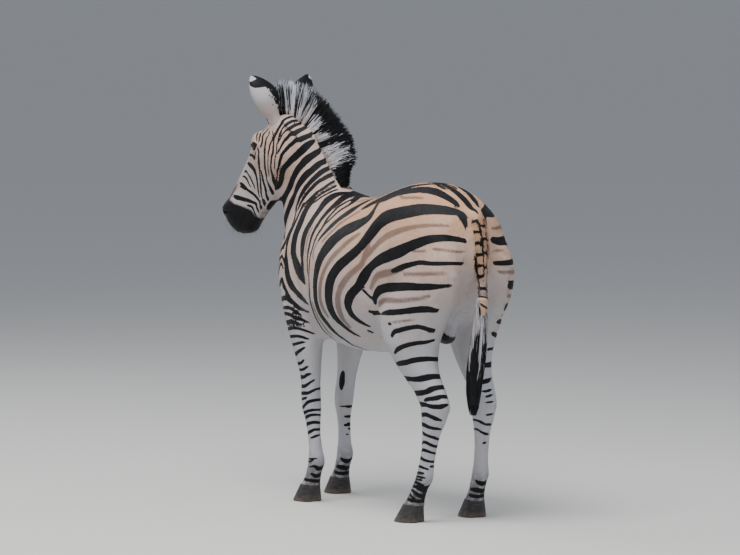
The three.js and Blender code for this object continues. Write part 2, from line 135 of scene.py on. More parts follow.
def outward(mesh):
    """The mesh's vertex normals in body axes."""
    flat = np.zeros(len(mesh.vertices) * 3, np.float32)
    mesh.vertex_normals.foreach_get("vector", flat)
    v = flat.reshape(-1, 3).astype(float)
    return np.stack([-v[:, 1], v[:, 0], v[:, 2]], 1)


def put_back(mesh, points):
    """Moves the mesh's vertices to new body coordinates."""
    mesh.vertices.foreach_set("co", to_frame(points).astype(np.float32).ravel())
    mesh.update()


def links_of(mesh):
    """Both ends of every edge, counted from each side."""
    flat = np.zeros(len(mesh.edges) * 2, np.int32)
    mesh.edges.foreach_get("vertices", flat)
    pairs = flat.reshape(-1, 2)
    return np.concatenate([pairs[:, 0], pairs[:, 1]]), np.concatenate([pairs[:, 1], pairs[:, 0]])


def relax(points, links, rounds, pull=0.5, push=-0.52, where=None):
    """Smooths without shrinking: a step towards the neighbours' mean, then a slightly larger one back."""
    here, there = links
    count = np.maximum(np.bincount(here, minlength=len(points)), 1)[:, None]
    amount = 1.0 if where is None else where[:, None]
    for _ in range(rounds):
        for step in (pull, push):
            total = np.stack([np.bincount(here, points[there, k], len(points)) for k in range(3)], 1)
            points = points + amount * step * (total / count - points)
    return points


# %% [markdown]
# ## The skin
#
# All the flesh nodes go into one object, a voxel remesh fuses them, and a smoothing that keeps the
# volume takes out the facets. The eyes and hooves are included so that the skin runs on past their
# rims; it is pushed inside them later.

# %% One skin from the flesh
COAT = 0.0035
GRID = 0.0124
HAIRY = ("mane", "tail_hair", "ear_left", "ear_right")
flesh_names = sorted(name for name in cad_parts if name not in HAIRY)


def fused(names, grid, swell=0.001):
    """Joins copies of the nodes, each swollen a little so that they overlap, and remeshes them as one."""
    work = bmesh.new()
    for name in names:
        part = bmesh.new()
        part.from_mesh(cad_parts[name].data)
        bmesh.ops.remove_doubles(part, verts=part.verts, dist=1e-6)
        part.normal_update()
        for vertex in part.verts:
            vertex.co += vertex.normal * swell
        mesh = bpy.data.meshes.new("part")
        part.to_mesh(mesh)
        part.free()
        work.from_mesh(mesh)
        bpy.data.meshes.remove(mesh)
    mesh = bpy.data.meshes.new("fused")
    work.to_mesh(mesh)
    work.free()
    carrier = bpy.data.objects.new("fused", mesh)
    bpy.context.scene.collection.objects.link(carrier)
    change = carrier.modifiers.new("remesh", "REMESH")
    change.mode = "VOXEL"
    change.voxel_size = grid
    view = bpy.context.evaluated_depsgraph_get()
    result = bpy.data.meshes.new_from_object(carrier.evaluated_get(view))
    bpy.data.objects.remove(carrier)
    return result


skin_mesh = fused(flesh_names, GRID)
points = places(skin_mesh)
links = links_of(skin_mesh)
points = relax(points, links, 26, 0.55, -0.57)
forward, left, up = points.T
broad = ease(up, 0.62, 0.78) * (1 - ease(forward, 0.62, 0.72) * ease(up, 1.15, 1.25))
points = relax(points, links, 60, 0.6, -0.612, where=broad)
put_back(skin_mesh, points)
print("skin:", len(skin_mesh.vertices), "points,", len(skin_mesh.polygons), "faces")

# %% [markdown]
# The head needs a finer mesh than the barrel, and the eyes and nostrils a finer one still. Each
# region is cut once more, then relaxed, so the detail can be carved as plain functions of place.

# %% Finer mesh where the form is finer
EYE_ALONG = 0.147
EYE_ABOVE = 0.036
EYE_OUT = 0.0795
EYEBALL = 0.0205
NOSTRIL = (0.492, 0.020, 0.054)


def refine(mesh, inside):
    """Cuts every face whose centre the function takes in into four."""
    centres = np.zeros(len(mesh.polygons) * 3, np.float32)
    mesh.polygons.foreach_get("center", centres)
    chosen = np.nonzero(inside(to_body(centres.reshape(-1, 3).astype(float))))[0]
    work = bmesh.new()
    work.from_mesh(mesh)
    work.faces.ensure_lookup_table()
    edges = {edge for index in chosen for edge in work.faces[index].edges}
    bmesh.ops.subdivide_edges(work, edges=list(edges), cuts=1, use_grid_fill=True)
    bmesh.ops.triangulate(work, faces=[face for face in work.faces if len(face.verts) > 4])
    work.to_mesh(mesh)
    work.free()


def near_head(points):
    """The head down to just behind the jaw."""
    along, above, aside = head_place(points).T
    return (along > -0.03) & (np.abs(aside) < 0.13) & (above > -0.19) & (along < 0.6)


def head_share(points):
    """1 on the head, fading to 0 where it runs into the neck."""
    along, above, aside = head_place(points).T
    return ease(along, -0.02, 0.05) * (1 - ease(np.abs(aside), 0.105, 0.125)) * ease(above, -0.185, -0.15)


def near_eye(points, reach=0.045):
    """A disc round each eye."""
    place = head_place(points)
    place[:, 2] = np.abs(place[:, 2])
    return np.linalg.norm(place - [EYE_ALONG, EYE_ABOVE, EYE_OUT + 0.01], axis=1) < reach


def near_muzzle(points):
    """The lips and nostrils."""
    return near_head(points) & (head_place(points)[:, 0] > 0.43)


def near_nostril(points):
    """A disc round each nostril."""
    place = head_place(points)
    place[:, 2] = np.abs(place[:, 2])
    return np.linalg.norm(place - NOSTRIL, axis=1) < 0.036


def lower_leg(points):
    """The legs below the elbow and the stifle, where the stripes are narrow."""
    return (points[:, 2] < 0.66) & (points[:, 2] > 0.06)


def striped_finely(points):
    """The base of the neck, where the thinnest stripes run."""
    forward, _, up = points.T
    return (forward > 0.34) & (up > 1.16) & (up < 1.52) & (forward + 0.55 * (up - 1.2) < 0.62)


for region, rounds in (
    (lambda p: near_head(p) | lower_leg(p), 6),
    (striped_finely, 2),
    (lambda p: near_muzzle(p) | near_eye(p), 8),
    (lambda p: near_eye(p, 0.037) | near_nostril(p), 5),
):
    refine(skin_mesh, region)
    points = places(skin_mesh)
    points = relax(points, links_of(skin_mesh), rounds, 0.5, -0.51, where=head_share(points))
    put_back(skin_mesh, points)
print("refined skin:", len(skin_mesh.vertices), "points")

# %% [markdown]
# ## Carving
#
# The skin lies inside the flesh by the depth of the coat. Ribs, muscle lines and the bones
# of the face are small moves along the surface's own direction, each a bell curve round a line.

# %% The coat's depth and the body's relief
points = places(skin_mesh)
normals = outward(skin_mesh)
forward, left, up = points.T
along, above, aside = head_place(points).T
side = np.abs(left)
head_weight = head_share(points)
legs = 1 - ease(up, 0.60, 0.72)


def from_line(a, b, line):
    """Distance of the places (a, b) from a bent line given as a few (a, b) points."""
    nearest = np.full(len(a), np.inf)
    for (a0, b0), (a1, b1) in zip(line[:-1], line[1:]):
        length = (a1 - a0) ** 2 + (b1 - b0) ** 2
        t = np.clip(((a - a0) * (a1 - a0) + (b - b0) * (b1 - b0)) / length, 0, 1)
        nearest = np.minimum(nearest, np.hypot(a - a0 - t * (a1 - a0), b - b0 - t * (b1 - b0)))
    return nearest


ribs = 0.0006 * np.sin((forward + 0.35 * (0.95 - up) ** 2 + 0.25 * (up - 0.95)) * 2 * math.pi / 0.052)
ribs *= bump(forward, 0.05, 0.22) * bump(up, 0.93, 0.20) * (side > 0.12)
relief = ribs
flank_fold = from_line(forward, up, [(-0.28, 1.13), (-0.23, 1.02), (-0.22, 0.92)])
relief += -0.010 * bump(flank_fold, 0, 0.05) * (side > 0.1)
relief += 0.007 * bump(np.hypot(forward + 0.27, up - 1.20), 0, 0.06) * (side > 0.12)
MUSCLES = [  # how far each stands out, its line of (forward, height), its width, its start from the midline
    (-0.007, [(0.36, 1.20), (0.33, 1.05), (0.27, 0.90)], 0.032, 0.1),
    (0.007, [(0.43, 1.18), (0.50, 1.02)], 0.045, 0.08),
    (-0.005, [(0.52, 1.02), (0.42, 0.95), (0.33, 0.86)], 0.03, 0.08),
    (-0.006, [(-0.50, 1.10), (-0.53, 0.95), (-0.50, 0.80)], 0.03, 0.12),
    (-0.006, [(0.60, 1.38), (0.56, 1.25), (0.53, 1.12)], 0.028, 0.03),
    (0.006, [(0.53, 1.42), (0.49, 1.30), (0.46, 1.20)], 0.05, 0.03),
]
for stands, bent_line, spread, begins in MUSCLES:
    relief += stands * bump(from_line(forward, up, bent_line), 0, spread) * (side > begins)
relief *= 1 - head_weight
depth = COAT * (1 - 0.45 * np.maximum(legs, head_weight))
points = points + normals * (relief - depth)[:, None]

# %% The bones and folds of the face
cheekbone = from_line(along, above, [(0.175, 0.004), (0.27, -0.018), (0.33, -0.030)])
mouth = from_line(along, above, [(0.425, -0.066), (0.455, -0.074), (0.49, -0.078), (0.55, -0.070)])
face = 0.0024 * bump(cheekbone, 0, 0.014)
face += -0.005 * bump(from_line(along, above, [(0.19, -0.04), (0.33, -0.075)]), 0, 0.030)
face += 0.004 * bump(from_line(along, above, [(0.09, -0.06), (0.14, -0.09)]), 0, 0.045)
face += -0.004 * bump(from_line(along, above, [(0.25, 0.03), (0.38, 0.012)]), 0, 0.022)
temple = from_line(along, above, [(0.055, 0.040), (0.105, 0.058)])
face += -0.0035 * bump(temple, 0, 0.024) * ease(np.abs(aside), 0.03, 0.06)
face += -0.0034 * bump(mouth, 0, 0.0036) + 0.0010 * bump(mouth, 0.011, 0.007)
face += 0.004 * bump(np.hypot(along - 0.482, above + 0.103), 0, 0.020)
face *= head_weight
points = points + normals * face[:, None]

# %% [markdown]
# Each eye has a plane of its own. Inside an almond the skin drops under the eyeball; round the
# almond it rides over the ball as a rim, and past the rim it runs back into the brow and the cheek.

# %% Lids
EYE_LOOK = {}
for way in (1, -1):
    centre = in_head(EYE_ALONG, EYE_ABOVE, way * EYE_OUT)
    look = ASIDE * way * 0.90 + ABOVE * 0.22 + ALONG * 0.30
    look /= np.linalg.norm(look)
    front = ALONG - look * (ALONG @ look)
    front /= np.linalg.norm(front)
    rise = np.cross(look, front) * (1 if np.cross(look, front) @ ABOVE > 0 else -1)
    tilt = math.radians(27)
    front, rise = (front * math.cos(tilt) + rise * math.sin(tilt),
                   rise * math.cos(tilt) - front * math.sin(tilt))
    EYE_LOOK[way] = (centre, look, front, rise)


def open_eye(points, way):
    """Moves the skin round one eye: under the ball inside the almond, over it at the rims."""
    centre, look, front, rise = EYE_LOOK[way]
    local = points - centre
    u, v, w = local @ front, local @ rise, local @ look
    reach = np.hypot(u, v)
    take = (reach < 0.044) & (w > -0.012)
    u, v, w, reach = u[take], v[take], w[take], reach[take]
    almond = np.hypot(u / 0.0180, v / np.where(v > 0, 0.0122, 0.0098) * (1 + 0.30 * (u / 0.018) ** 2))
    out = (almond - 1) * reach / np.maximum(almond, 0.05)
    ball = np.sqrt(np.clip(EYEBALL**2 - np.minimum(reach, EYEBALL * 0.97) ** 2, 0, None))
    lid = np.sqrt(np.clip((EYEBALL + 0.0028) ** 2 - np.minimum(reach, EYEBALL * 0.96) ** 2, 0, None))
    upper = v > 0
    crease = -0.0026 * bump(out, np.where(upper, 0.0062, 0.0072), 0.0016)
    crease += 0.0018 * bump(out, np.where(upper, 0.0098, 0.0115), 0.0028)
    shape = lid + crease
    sunk = ball - 0.0055
    inner = ease(out, -0.0014, 0.0006)
    wanted = sunk * (1 - inner) + shape * inner
    hold = 1 - ease(out, 0.004, 0.016)
    moved = points.copy()
    moved[take] += look * ((wanted - w) * hold)[:, None]
    return moved


for way in (1, -1):
    points = open_eye(points, way)


# %% Nostrils and the flare round them
def open_nostril(points, way):
    """A comma-shaped hollow with a raised rim, on one side of the muzzle."""
    centre = in_head(NOSTRIL[0], NOSTRIL[1], way * NOSTRIL[2])
    look = ASIDE * way * 0.80 + ALONG * 0.52 + ABOVE * 0.12
    look /= np.linalg.norm(look)
    lean = ALONG * 0.50 + ABOVE * 0.86
    long_way = lean - look * (lean @ look)
    long_way /= np.linalg.norm(long_way)
    short_way = np.cross(look, long_way)
    local = points - centre
    u, v, w = local @ long_way, local @ short_way * way, local @ look
    take = (np.hypot(u, v) < 0.04) & (np.abs(w) < 0.04)
    bend = v + 14.0 * u**2 - 0.002
    round_hole = np.hypot(u / 0.0185, bend / (0.0066 + 0.0022 * ease(u, -0.012, 0.012)))
    hollow = -0.015 * (1 - ease(round_hole, 0.45, 1.15))
    rim = 0.0036 * bump(round_hole, 1.45, 0.42)
    moved = points + look * ((hollow + rim) * take)[:, None]
    return moved


for way in (1, -1):
    points = open_nostril(points, way)
put_back(skin_mesh, points)

# %% [markdown]
# ## The stripes
#
# A stripe is a curve on the flank with a half width that changes along it. The flank is unrolled to
# (forward, height): height is plain height on the side, and climbs on over the back as the surface
# turns to the midline. For any place, `inside` gives how deep it lies within the nearest stripe,
# in metres; it is negative outside. Skin and hairs read the same numbers, so they always agree.

# %% Where a place lies on the unrolled flank
def unrolled(points):
    """(forward, height), back and belly unrolled: height + share x (0.28 - distance from the midline)."""
    forward, left, up = points.T
    share = 0.8 * ease(up, 0.98, 1.25) * (1 - ease(forward, 0.30, 0.45)) - 0.6 * ease(-up, -0.86, -0.70)
    return forward, up + share * (0.28 - np.abs(left))


def smooth_curve(rows, steps=4):
    """A rounded line through the rows: cubics that leave each row along its neighbours' chord."""
    rows = np.array(rows, float)
    padded = np.vstack([2 * rows[0] - rows[1], rows, 2 * rows[-1] - rows[-2]])
    t = (np.arange(steps) / steps)[:, None]
    bits = []
    for a, b, c, d in zip(padded[:-3], padded[1:-2], padded[2:-1], padded[3:]):
        bits.append(0.5 * (2 * b + (c - a) * t + (2 * a - 5 * b + 4 * c - d) * t**2
                           + (3 * b - a - 3 * c + d) * t**3))
    return np.vstack(bits + [rows[-1:]])


def plain(depth):
    """A depth as three columns, for a mark without a middle line."""
    return np.stack([depth, depth, np.ones_like(depth)], 1)


def deeper(one, other):
    """Row by row the one of two marks that reaches deeper into the black."""
    return np.where(one[:, :1] >= other[:, :1], one, other)


def wide(mark, gain):
    """The mark with its stripes made wider."""
    return np.stack([mark[:, 0] + gain, mark[:, 1] + gain, mark[:, 2]], 1)


def less(mark, loss):
    """The mark with some of its depth taken off."""
    return np.stack([mark[:, 0] - loss, mark[:, 1], mark[:, 2]], 1)


def inside(a, b, stripes, floor=-0.03, wider=0.0):
    """How deep each place (a, b) is inside the stripes: rows of (a, b, half width) in millimetres.

    Three columns: the depth, the nearest stripe's half width there, and the side of its middle line.
    Neighbouring stripes count their sides the opposite way, so that no false line lies between them.
    """
    best = np.tile([floor, floor, 1.0], (len(a), 1))
    for number, rows in enumerate(stripes):
        curve = smooth_curve(rows) / 1000.0
        low, high = curve.min(0), curve.max(0)
        reach = high[2] - floor
        near = (a > low[0] - reach) & (a < high[0] + reach) & (b > low[1] - reach) & (b < high[1] + reach)
        index = np.nonzero(near)[0]
        if len(index) == 0:
            continue
        pa, pb = a[index], b[index]
        got = best[index]
        for (a0, b0, w0), (a1, b1, w1) in zip(curve[:-1], curve[1:]):
            da, db = a1 - a0, b1 - b0
            t = np.clip(((pa - a0) * da + (pb - b0) * db) / (da * da + db * db + 1e-12), 0, 1)
            half = w0 + t * (w1 - w0) + wider
            depth = half - np.hypot(pa - a0 - t * da, pb - b0 - t * db)
            side = np.sign(da * (pb - b0) - db * (pa - a0)) * (1 - 2 * (number % 2))
            got = deeper(got, np.stack([depth, half, side], 1))
        best[index] = got
    return best


# %% Black stripes of the croup, flank and thigh: rows of (forward, height, half width), millimetres
CROUP = [
    [(-160, 1365, 14), (-192, 1362, 22), (-245, 1402, 24), (-297, 1428, 26), (-350, 1452, 28),
     (-403, 1462, 25),
     (-455, 1457, 18), (-508, 1445, 12), (-536, 1431, 5)],
    [(-60, 1298, 12), (-88, 1325, 24), (-125, 1362, 27), (-165, 1402, 26), (-215, 1440, 22), (-262, 1472, 18),
     (-310, 1505, 14), (-355, 1545, 8)],
    [(-45, 1385, 5), (-75, 1425, 14), (-115, 1468, 17), (-160, 1512, 14), (-205, 1560, 9)],
    [(118, 1385, 4), (105, 1430, 8), (92, 1480, 9), (75, 1530, 8), (65, 1570, 6)],
    [(-420, 1508, 4), (-370, 1520, 6), (-330, 1545, 5)],
    [(-64, 664, 5), (-43, 698, 9), (-22, 735, 12), (-6, 767, 16), (9, 798, 20), (13, 835, 23), (8, 877, 26),
     (-6, 919, 26), (-27, 956, 24), (-59, 988, 22), (-101, 1017, 20), (-143, 1046, 20), (-180, 1082, 20),
     (-218, 1142, 25), (-245, 1195, 30), (-280, 1236, 38), (-324, 1264, 39), (-376, 1291, 39),
     (-429, 1322, 37),
     (-482, 1349, 32), (-534, 1376, 27), (-561, 1388, 19), (-582, 1365, 9), (-597, 1323, 5), (-613, 1262, 4)],
    [(-159, 730, 5), (-138, 751, 9), (-119, 777, 11), (-104, 804, 14), (-101, 835, 16), (-117, 867, 18),
     (-143, 893, 17), (-171, 917, 16), (-208, 965, 20), (-245, 1002, 18), (-297, 1033, 22), (-350, 1054, 25),
     (-403, 1077, 27), (-445, 1102, 24), (-482, 1128, 23), (-518, 1154, 22), (-561, 1181, 20),
     (-597, 1200, 17),
     (-620, 1190, 10)],
    [(-366, 988, 5), (-403, 1001, 10), (-434, 1012, 10), (-476, 1025, 9), (-508, 1034, 9), (-561, 1033, 8),
     (-600, 1036, 8), (-640, 1042, 7)],
    [(-244, 858, 6), (-250, 880, 10), (-276, 905, 14), (-308, 917, 15), (-350, 924, 16), (-403, 928, 15),
     (-455, 933, 14), (-508, 934, 12), (-561, 937, 11), (-592, 939, 8), (-621, 943, 4)],
    [(-215, 800, 2), (-276, 810, 4), (-313, 817, 8), (-350, 823, 11), (-403, 828, 11), (-455, 836, 11),
     (-508, 844, 12), (-550, 847, 12), (-574, 842, 8)],
    [(-366, 715, 7), (-384, 735, 9), (-418, 743, 10), (-455, 752, 10), (-497, 754, 10), (-524, 734, 9),
     (-533, 705, 5)],
    [(-365, 636, 4), (-387, 652, 8), (-418, 663, 8), (-455, 668, 8), (-487, 665, 8), (-515, 652, 6)],
    [(-195, 903, 3), (-216, 885, 3), (-237, 869, 3)],
    [(-205, 815, 6), (-229, 810, 8), (-246, 818, 3)],
    [(-352, 772, 5), (-362, 768, 4)],
    [(-140, 695, 7), (-146, 685, 6)],
]
# %% Black stripes of the barrel and shoulder
BARREL = [
    [(-180, 1356, 8), (-158, 1340, 10), (-165, 1305, 10), (-174, 1268, 13), (-166, 1228, 21),
     (-133, 1196, 28),
     (-90, 1172, 35), (-48, 1151, 36), (-6, 1121, 36), (25, 1090, 34), (57, 1056, 32), (83, 1019, 28),
     (102, 977, 24), (112, 930, 19), (120, 883, 17), (123, 835, 18), (117, 788, 18), (99, 751, 18),
     (86, 704, 15),
     (67, 656, 12), (57, 610, 9), (50, 560, 6), (46, 520, 3)],
    [(-40, 1570, 8), (-18, 1510, 15), (0, 1455, 19), (12, 1415, 21), (20, 1382, 23), (27, 1338, 27),
     (38, 1288, 30), (62, 1240, 27), (83, 1198, 20),
     (109, 1156, 16), (131, 1119, 11), (148, 1090, 5)],
    [(300, 1580, 10), (292, 1520, 15), (282, 1478, 18), (267, 1440, 22), (246, 1385, 23), (234, 1330, 20),
     (236, 1272, 17), (237, 1204, 15),
     (245, 1140, 14), (241, 1083, 11), (233, 1030, 8), (220, 988, 6), (204, 951, 3)],
    [(206, 1570, 7), (203, 1500, 8), (198, 1440, 7), (194, 1346, 8), (188, 1283, 8), (186, 1225, 8),
     (175, 1180, 9), (185, 1120, 9), (190, 1070, 6),
     (192, 1015, 4), (186, 951, 4), (181, 910, 5), (187, 872, 6), (194, 820, 8), (196, 767, 9),
     (202, 709, 10),
     (204, 650, 9), (200, 590, 6), (196, 540, 3)],
    [(262, 1580, 7), (256, 1520, 9), (238, 1472, 10), (199, 1430, 12), (162, 1398, 13), (140, 1362, 12),
     (136, 1319, 11), (148, 1267, 8),
     (153, 1214, 7), (163, 1185, 5)],
    [(300, 1500, 6), (306, 1470, 11), (318, 1420, 18), (325, 1360, 26), (325, 1300, 29), (325, 1240, 29),
     (332, 1190, 27), (346, 1140, 24), (349, 1092, 22), (340, 1050, 19), (320, 1010, 14), (304, 975, 10),
     (284, 945, 5)],
    [(413, 1252, 7), (419, 1220, 13), (420, 1190, 17), (425, 1140, 20), (434, 1092, 20), (434, 1050, 22),
     (423, 1015, 25), (399, 985, 27), (369, 965, 28), (334, 946, 25), (304, 932, 21), (269, 915, 15),
     (252, 906, 4)],
    [(459, 1204, 9), (469, 1165, 8), (479, 1115, 7), (491, 1060, 6), (495, 1015, 7), (491, 980, 11),
     (478, 940, 17),
     (454, 902, 20), (419, 876, 16), (379, 857, 13), (339, 842, 13), (299, 833, 12), (262, 824, 8),
     (241, 817, 3)],
    [(521, 1190, 9), (509, 1155, 9), (504, 1110, 7), (513, 1062, 6), (534, 1032, 6)],
    [(554, 878, 8), (522, 900, 9), (503, 876, 9), (483, 860, 8), (460, 834, 9), (439, 811, 10),
     (409, 787, 12),
     (379, 771, 11), (344, 769, 8), (304, 767, 6), (268, 771, 3)],
    [(545, 806, 8), (529, 812, 10), (499, 822, 11), (464, 820, 10), (441, 804, 9)],
    [(530, 755, 5), (504, 765, 7), (469, 772, 8), (439, 765, 7), (409, 745, 8), (384, 732, 4)],
    [(545, 712, 6), (519, 721, 8), (494, 731, 9), (454, 730, 9), (419, 716, 8), (379, 700, 6), (349, 680, 3)],
    [(515, 672, 7), (484, 680, 9), (449, 690, 10), (419, 687, 8), (394, 680, 4)],
    [(740, 1030, 9), (690, 1045, 13), (640, 1062, 14), (590, 1085, 14), (563, 1080, 9), (545, 1066, 4)],
    [(740, 965, 9), (690, 978, 10), (640, 994, 9), (600, 1008, 7), (562, 1022, 6), (532, 1045, 5),
     (511, 1062, 4)],
    [(740, 905, 9), (690, 918, 9), (640, 938, 9), (600, 962, 7), (565, 984, 5), (532, 995, 4), (508, 976, 4)],
    [(740, 855, 8), (690, 866, 8), (640, 886, 8), (600, 912, 6), (560, 950, 5), (538, 966, 4), (515, 948, 3)],
    [(740, 812, 8), (690, 822, 8), (640, 842, 8), (590, 864, 8), (556, 880, 7)],
    [(740, 770, 6), (690, 778, 7), (640, 792, 7), (590, 806, 6), (560, 808, 6)],
]
# %% Black stripes of the neck
NECK = [
    [(740, 1085, 14), (700, 1100, 17), (660, 1118, 19), (625, 1143, 18), (600, 1168, 16), (580, 1195, 13),
     (561, 1224, 12), (546, 1242, 12), (533, 1259, 13), (509, 1289, 13), (494, 1307, 13), (475, 1333, 12),
     (460, 1350, 10), (451, 1368, 9), (438, 1388, 6)],
    [(740, 1188, 14), (700, 1194, 18), (665, 1206, 21), (642, 1219, 19), (615, 1240, 15), (598, 1257, 13),
     (577, 1283, 14), (559, 1305, 14), (540, 1326, 14), (522, 1348, 14), (505, 1366, 13), (490, 1387, 13),
     (472, 1409, 10), (464, 1425, 6), (458, 1437, 4)],
    [(720, 1255, 8), (690, 1262, 9), (660, 1275, 9), (640, 1292, 9), (614, 1322, 9), (592, 1350, 10),
     (578, 1364, 10), (566, 1376, 11), (553, 1389, 12), (540, 1398, 13), (525, 1411, 13), (509, 1426, 13),
     (500, 1440, 11), (494, 1450, 9), (487, 1463, 5)],
    [(700, 1300, 5), (670, 1303, 5), (645, 1315, 5), (622, 1340, 5), (606, 1360, 6), (592, 1384, 7),
     (580, 1404, 8), (570, 1420, 8), (561, 1437, 9), (548, 1450, 10), (533, 1460, 10), (518, 1472, 10),
     (503, 1484, 8), (494, 1496, 4)],
    [(680, 1345, 5), (645, 1352, 4), (618, 1374, 4), (604, 1400, 5), (592, 1425, 6), (582, 1450, 7),
     (570, 1470, 8), (555, 1488, 9), (540, 1504, 9), (526, 1519, 7), (514, 1532, 4)],
    [(612, 1440, 3), (598, 1465, 4), (584, 1492, 5), (570, 1514, 5), (555, 1535, 5), (542, 1552, 3)],
    [(614, 1462, 4), (602, 1495, 5), (590, 1522, 5), (574, 1548, 4), (566, 1562, 3)],
    [(630, 1474, 4), (620, 1508, 5), (610, 1538, 5), (598, 1562, 4)],
    [(520, 1195, 4), (505, 1217, 6), (494, 1237, 7), (483, 1254, 8), (473, 1272, 8), (460, 1294, 7),
     (448, 1314, 7), (438, 1333, 6), (431, 1350, 5), (422, 1372, 3)],
    [(495, 1190, 4), (479, 1217, 5), (468, 1235, 5), (457, 1254, 5), (445, 1274, 5), (436, 1294, 4),
     (427, 1313, 3), (417, 1335, 3), (410, 1356, 3), (404, 1376, 2)],
    [(466, 1185, 3), (455, 1202, 3), (440, 1226, 3), (429, 1248, 2), (421, 1267, 2), (412, 1289, 1),
     (403, 1311, 1), (396, 1336, 1), (390, 1360, 1), (385, 1382, 1)],
    [(438, 1205, 1), (425, 1226, 1), (412, 1254, 1), (400, 1286, 1), (389, 1320, 1), (379, 1355, 1),
     (370, 1394, 1)],
    [(410, 1232, 1), (396, 1265, 1), (383, 1302, 1), (371, 1342, 1), (362, 1376, 1), (354, 1412, 0)],
]
# %% Brown shadow stripes between the black ones
SHADOW = [
    [(-250, 1240, 0), (-200, 1030, 9), (-171, 990, 10), (-133, 962, 11), (-92, 925, 12), (-60, 883, 13),
     (-44, 835, 15), (-42, 783, 12), (-55, 730, 6)],
    [(-200, 1030, 9), (-253, 1086, 10), (-282, 1117, 14), (-318, 1144, 16), (-361, 1167, 15),
     (-403, 1191, 13),
     (-455, 1217, 11), (-508, 1244, 9), (-566, 1275, 6)],
    [(-234, 915, 7), (-255, 944, 10), (-282, 965, 11), (-318, 975, 12), (-366, 986, 11), (-415, 999, 6)],
    [(-434, 979, 4), (-497, 983, 5), (-561, 988, 5), (-613, 991, 4)],
    [(-262, 846, 4), (-275, 860, 8), (-308, 870, 8), (-350, 873, 8), (-403, 875, 7), (-455, 880, 6),
     (-508, 888, 5),
     (-560, 900, 4)],
    [(-560, 1110, 7), (-615, 1112, 6)],
    [(-470, 1085, 4), (-520, 1095, 5)],
    [(-154, 1137, 5), (-101, 1098, 9), (-59, 1062, 10), (-6, 1019, 10), (36, 972, 9), (62, 925, 10),
     (78, 872, 10),
     (76, 825, 11), (57, 783, 8)],
    [(-48, 1272, 9), (-6, 1225, 8), (36, 1183, 8), (73, 1130, 8), (109, 1083, 5)],
    [(148, 1090, 4), (170, 1046, 5), (150, 1010, 3)],
    [(-240, 1410, 3), (-300, 1375, 5), (-352, 1385, 7), (-403, 1395, 5)],
    [(285, 1160, 5), (288, 1090, 6), (275, 1030, 4)],
    [(168, 830, 6), (160, 770, 9), (150, 700, 9), (140, 640, 5)],
    [(-480, 795, 3), (-420, 785, 4), (-372, 782, 3)],
]
NECK.sort(key=lambda rows: np.mean([row[0] + 0.8 * row[1] for row in rows]))
BARREL.sort(key=lambda rows: np.mean([row[0] for row in rows]))
CROUP.sort(key=lambda rows: np.mean([row[1] for row in rows]))
CROUP_WIDER = 0.0026  # metres by which a set of stripes is drawn wider than its rows say
BARREL_WIDER = 0.0028
NECK_WIDER = 0.0027
SHADOW_WIDER = 0.003
DOCK_WIDER = 0.0016
CHEEK_WIDER = 0.0002
FOREHEAD_WIDER = 0.0004
print("stripes:", len(CROUP), "on the croup,", len(BARREL), "on the barrel,", len(NECK), "on the neck")
